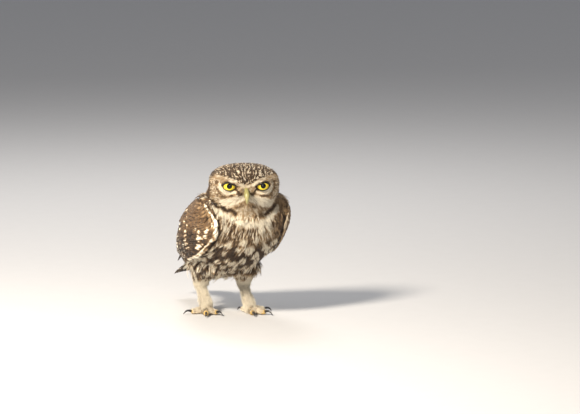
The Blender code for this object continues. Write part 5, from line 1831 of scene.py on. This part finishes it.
class OWL_OT_stage(bpy.types.Operator):
    """Set the floor, lights and camera"""

    bl_idname = "owl.stage"
    bl_label = "Stage"

    def execute(self, context):
        mesh = bmesh.new()
        bmesh.ops.create_grid(mesh, x_segments=8, y_segments=8, size=20)
        data = bpy.data.meshes.new("floor")
        mesh.to_mesh(data)
        mesh.free()
        floor = bpy.data.objects.new("floor", data)
        context.scene.collection.objects.link(floor)
        material, wires, shader = new_material("stage_floor")
        place = wires.node("ShaderNodeTexCoord")
        grain = wires.noise(place.outputs["Object"], 60.0, 3.0)
        tint = tuple(context.scene.owl_colours.floor)
        wires.put(shader.inputs["Base Color"], wires.mix(grain, (*tint, 1), tuple(c * 0.96 for c in tint) + (1,)))
        shader.inputs["Roughness"].default_value = 0.9
        data.materials.append(material)
        self.lights(context)
        self.camera(context)
        return {"FINISHED"}

    def lights(self, context):
        world = bpy.data.worlds.new("studio")
        world.use_nodes = True
        world.node_tree.nodes["Background"].inputs[0].default_value = (0.93, 0.95, 1.0, 1)
        world.node_tree.nodes["Background"].inputs[1].default_value = 0.34
        context.scene.world = world
        context.scene.view_settings.view_transform = "Standard"
        target = Vector((0, -0.02, 0.07))
        for name, azimuth, height, far, size, power, colour in (
            ("key", -62, 37, 1.2, 0.24, 33, (1.0, 0.90, 0.76)),
            ("fill", -16, 12, 1.4, 0.25, 4, (1.0, 0.96, 0.90)),
            ("rim", 165, 45, 1.3, 0.5, 8, (1.0, 0.98, 0.95)),
        ):
            data = bpy.data.lights.new(name, "AREA")
            data.shape = "DISK"
            data.size = size
            data.energy = power
            data.color = colour
            lamp = bpy.data.objects.new(name, data)
            turn, lift = math.radians(azimuth), math.radians(height)
            way = Vector((math.sin(turn) * math.cos(lift), -math.cos(turn) * math.cos(lift), math.sin(lift)))
            lamp.location = target + way * far
            lamp.rotation_mode = "QUATERNION"
            lamp.rotation_quaternion = (-way).to_track_quat("-Z", "Y")
            lamp.visible_camera = False
            context.scene.collection.objects.link(lamp)

    def camera(self, context):
        """A long lens at the photograph's viewing angle, framed as the photograph is."""
        turn, lift = math.radians(-26), math.radians(8)
        back = Vector((math.sin(turn) * math.cos(lift), -math.cos(turn) * math.cos(lift), math.sin(lift)))
        across = Vector((math.cos(turn), math.sin(turn), 0))
        upwards = back.cross(across)
        # The frame's origin shows at pixel (217.6, 309.7) of 580 x 414, at 0.9 mm to the pixel.
        centre = across * (290 - 217.6) * 0.9 * MM + upwards * (309.7 - 207) * 0.9 * MM
        data = bpy.data.cameras.new("camera")
        data.lens = 300
        data.sensor_width = 36
        far = 580 * 0.9 * MM * data.lens / 36
        data.clip_start, data.clip_end = 0.1, 60
        camera = bpy.data.objects.new("camera", data)
        camera.location = centre + back * far
        camera.rotation_mode = "QUATERNION"
        camera.rotation_quaternion = (-back).to_track_quat("-Z", "Y")
        context.scene.collection.objects.link(camera)
        context.scene.camera = camera


STEPS = (
    OWL_OT_stage,
    OWL_OT_skin,
    OWL_OT_wings,
    OWL_OT_tail,
    OWL_OT_eyes,
    OWL_OT_bill,
    OWL_OT_claws,
    OWL_OT_face,
    OWL_OT_crown,
    OWL_OT_body,
    OWL_OT_legs,
)


class OWL_PT_pieces(bpy.types.Panel):
    """Pieces of the owl and its sizes and colours"""

    bl_idname = "OWL_PT_pieces"
    bl_label = "Little Owl"
    bl_space_type = "VIEW_3D"
    bl_region_type = "UI"
    bl_category = "Owl"

    def draw(self, context):
        for step in STEPS:
            self.layout.operator(step.bl_idname)
        for group in (context.scene.owl_sizes, context.scene.owl_colours):
            for name in type(group).__annotations__:
                self.layout.prop(group, name)


CLASSES = (OwlSizes, OwlColours, *STEPS, OWL_PT_pieces)


def register():
    for item in CLASSES:
        bpy.utils.register_class(item)
    bpy.types.Scene.owl_sizes = PointerProperty(type=OwlSizes)
    bpy.types.Scene.owl_colours = PointerProperty(type=OwlColours)


def unregister():
    del bpy.types.Scene.owl_sizes
    del bpy.types.Scene.owl_colours
    for item in reversed(CLASSES):
        bpy.utils.unregister_class(item)


def main():
    register()
    for step in STEPS:
        area, name = step.bl_idname.split(".")
        getattr(getattr(bpy.ops, area), name)()


if __name__ == "__main__":
    main()
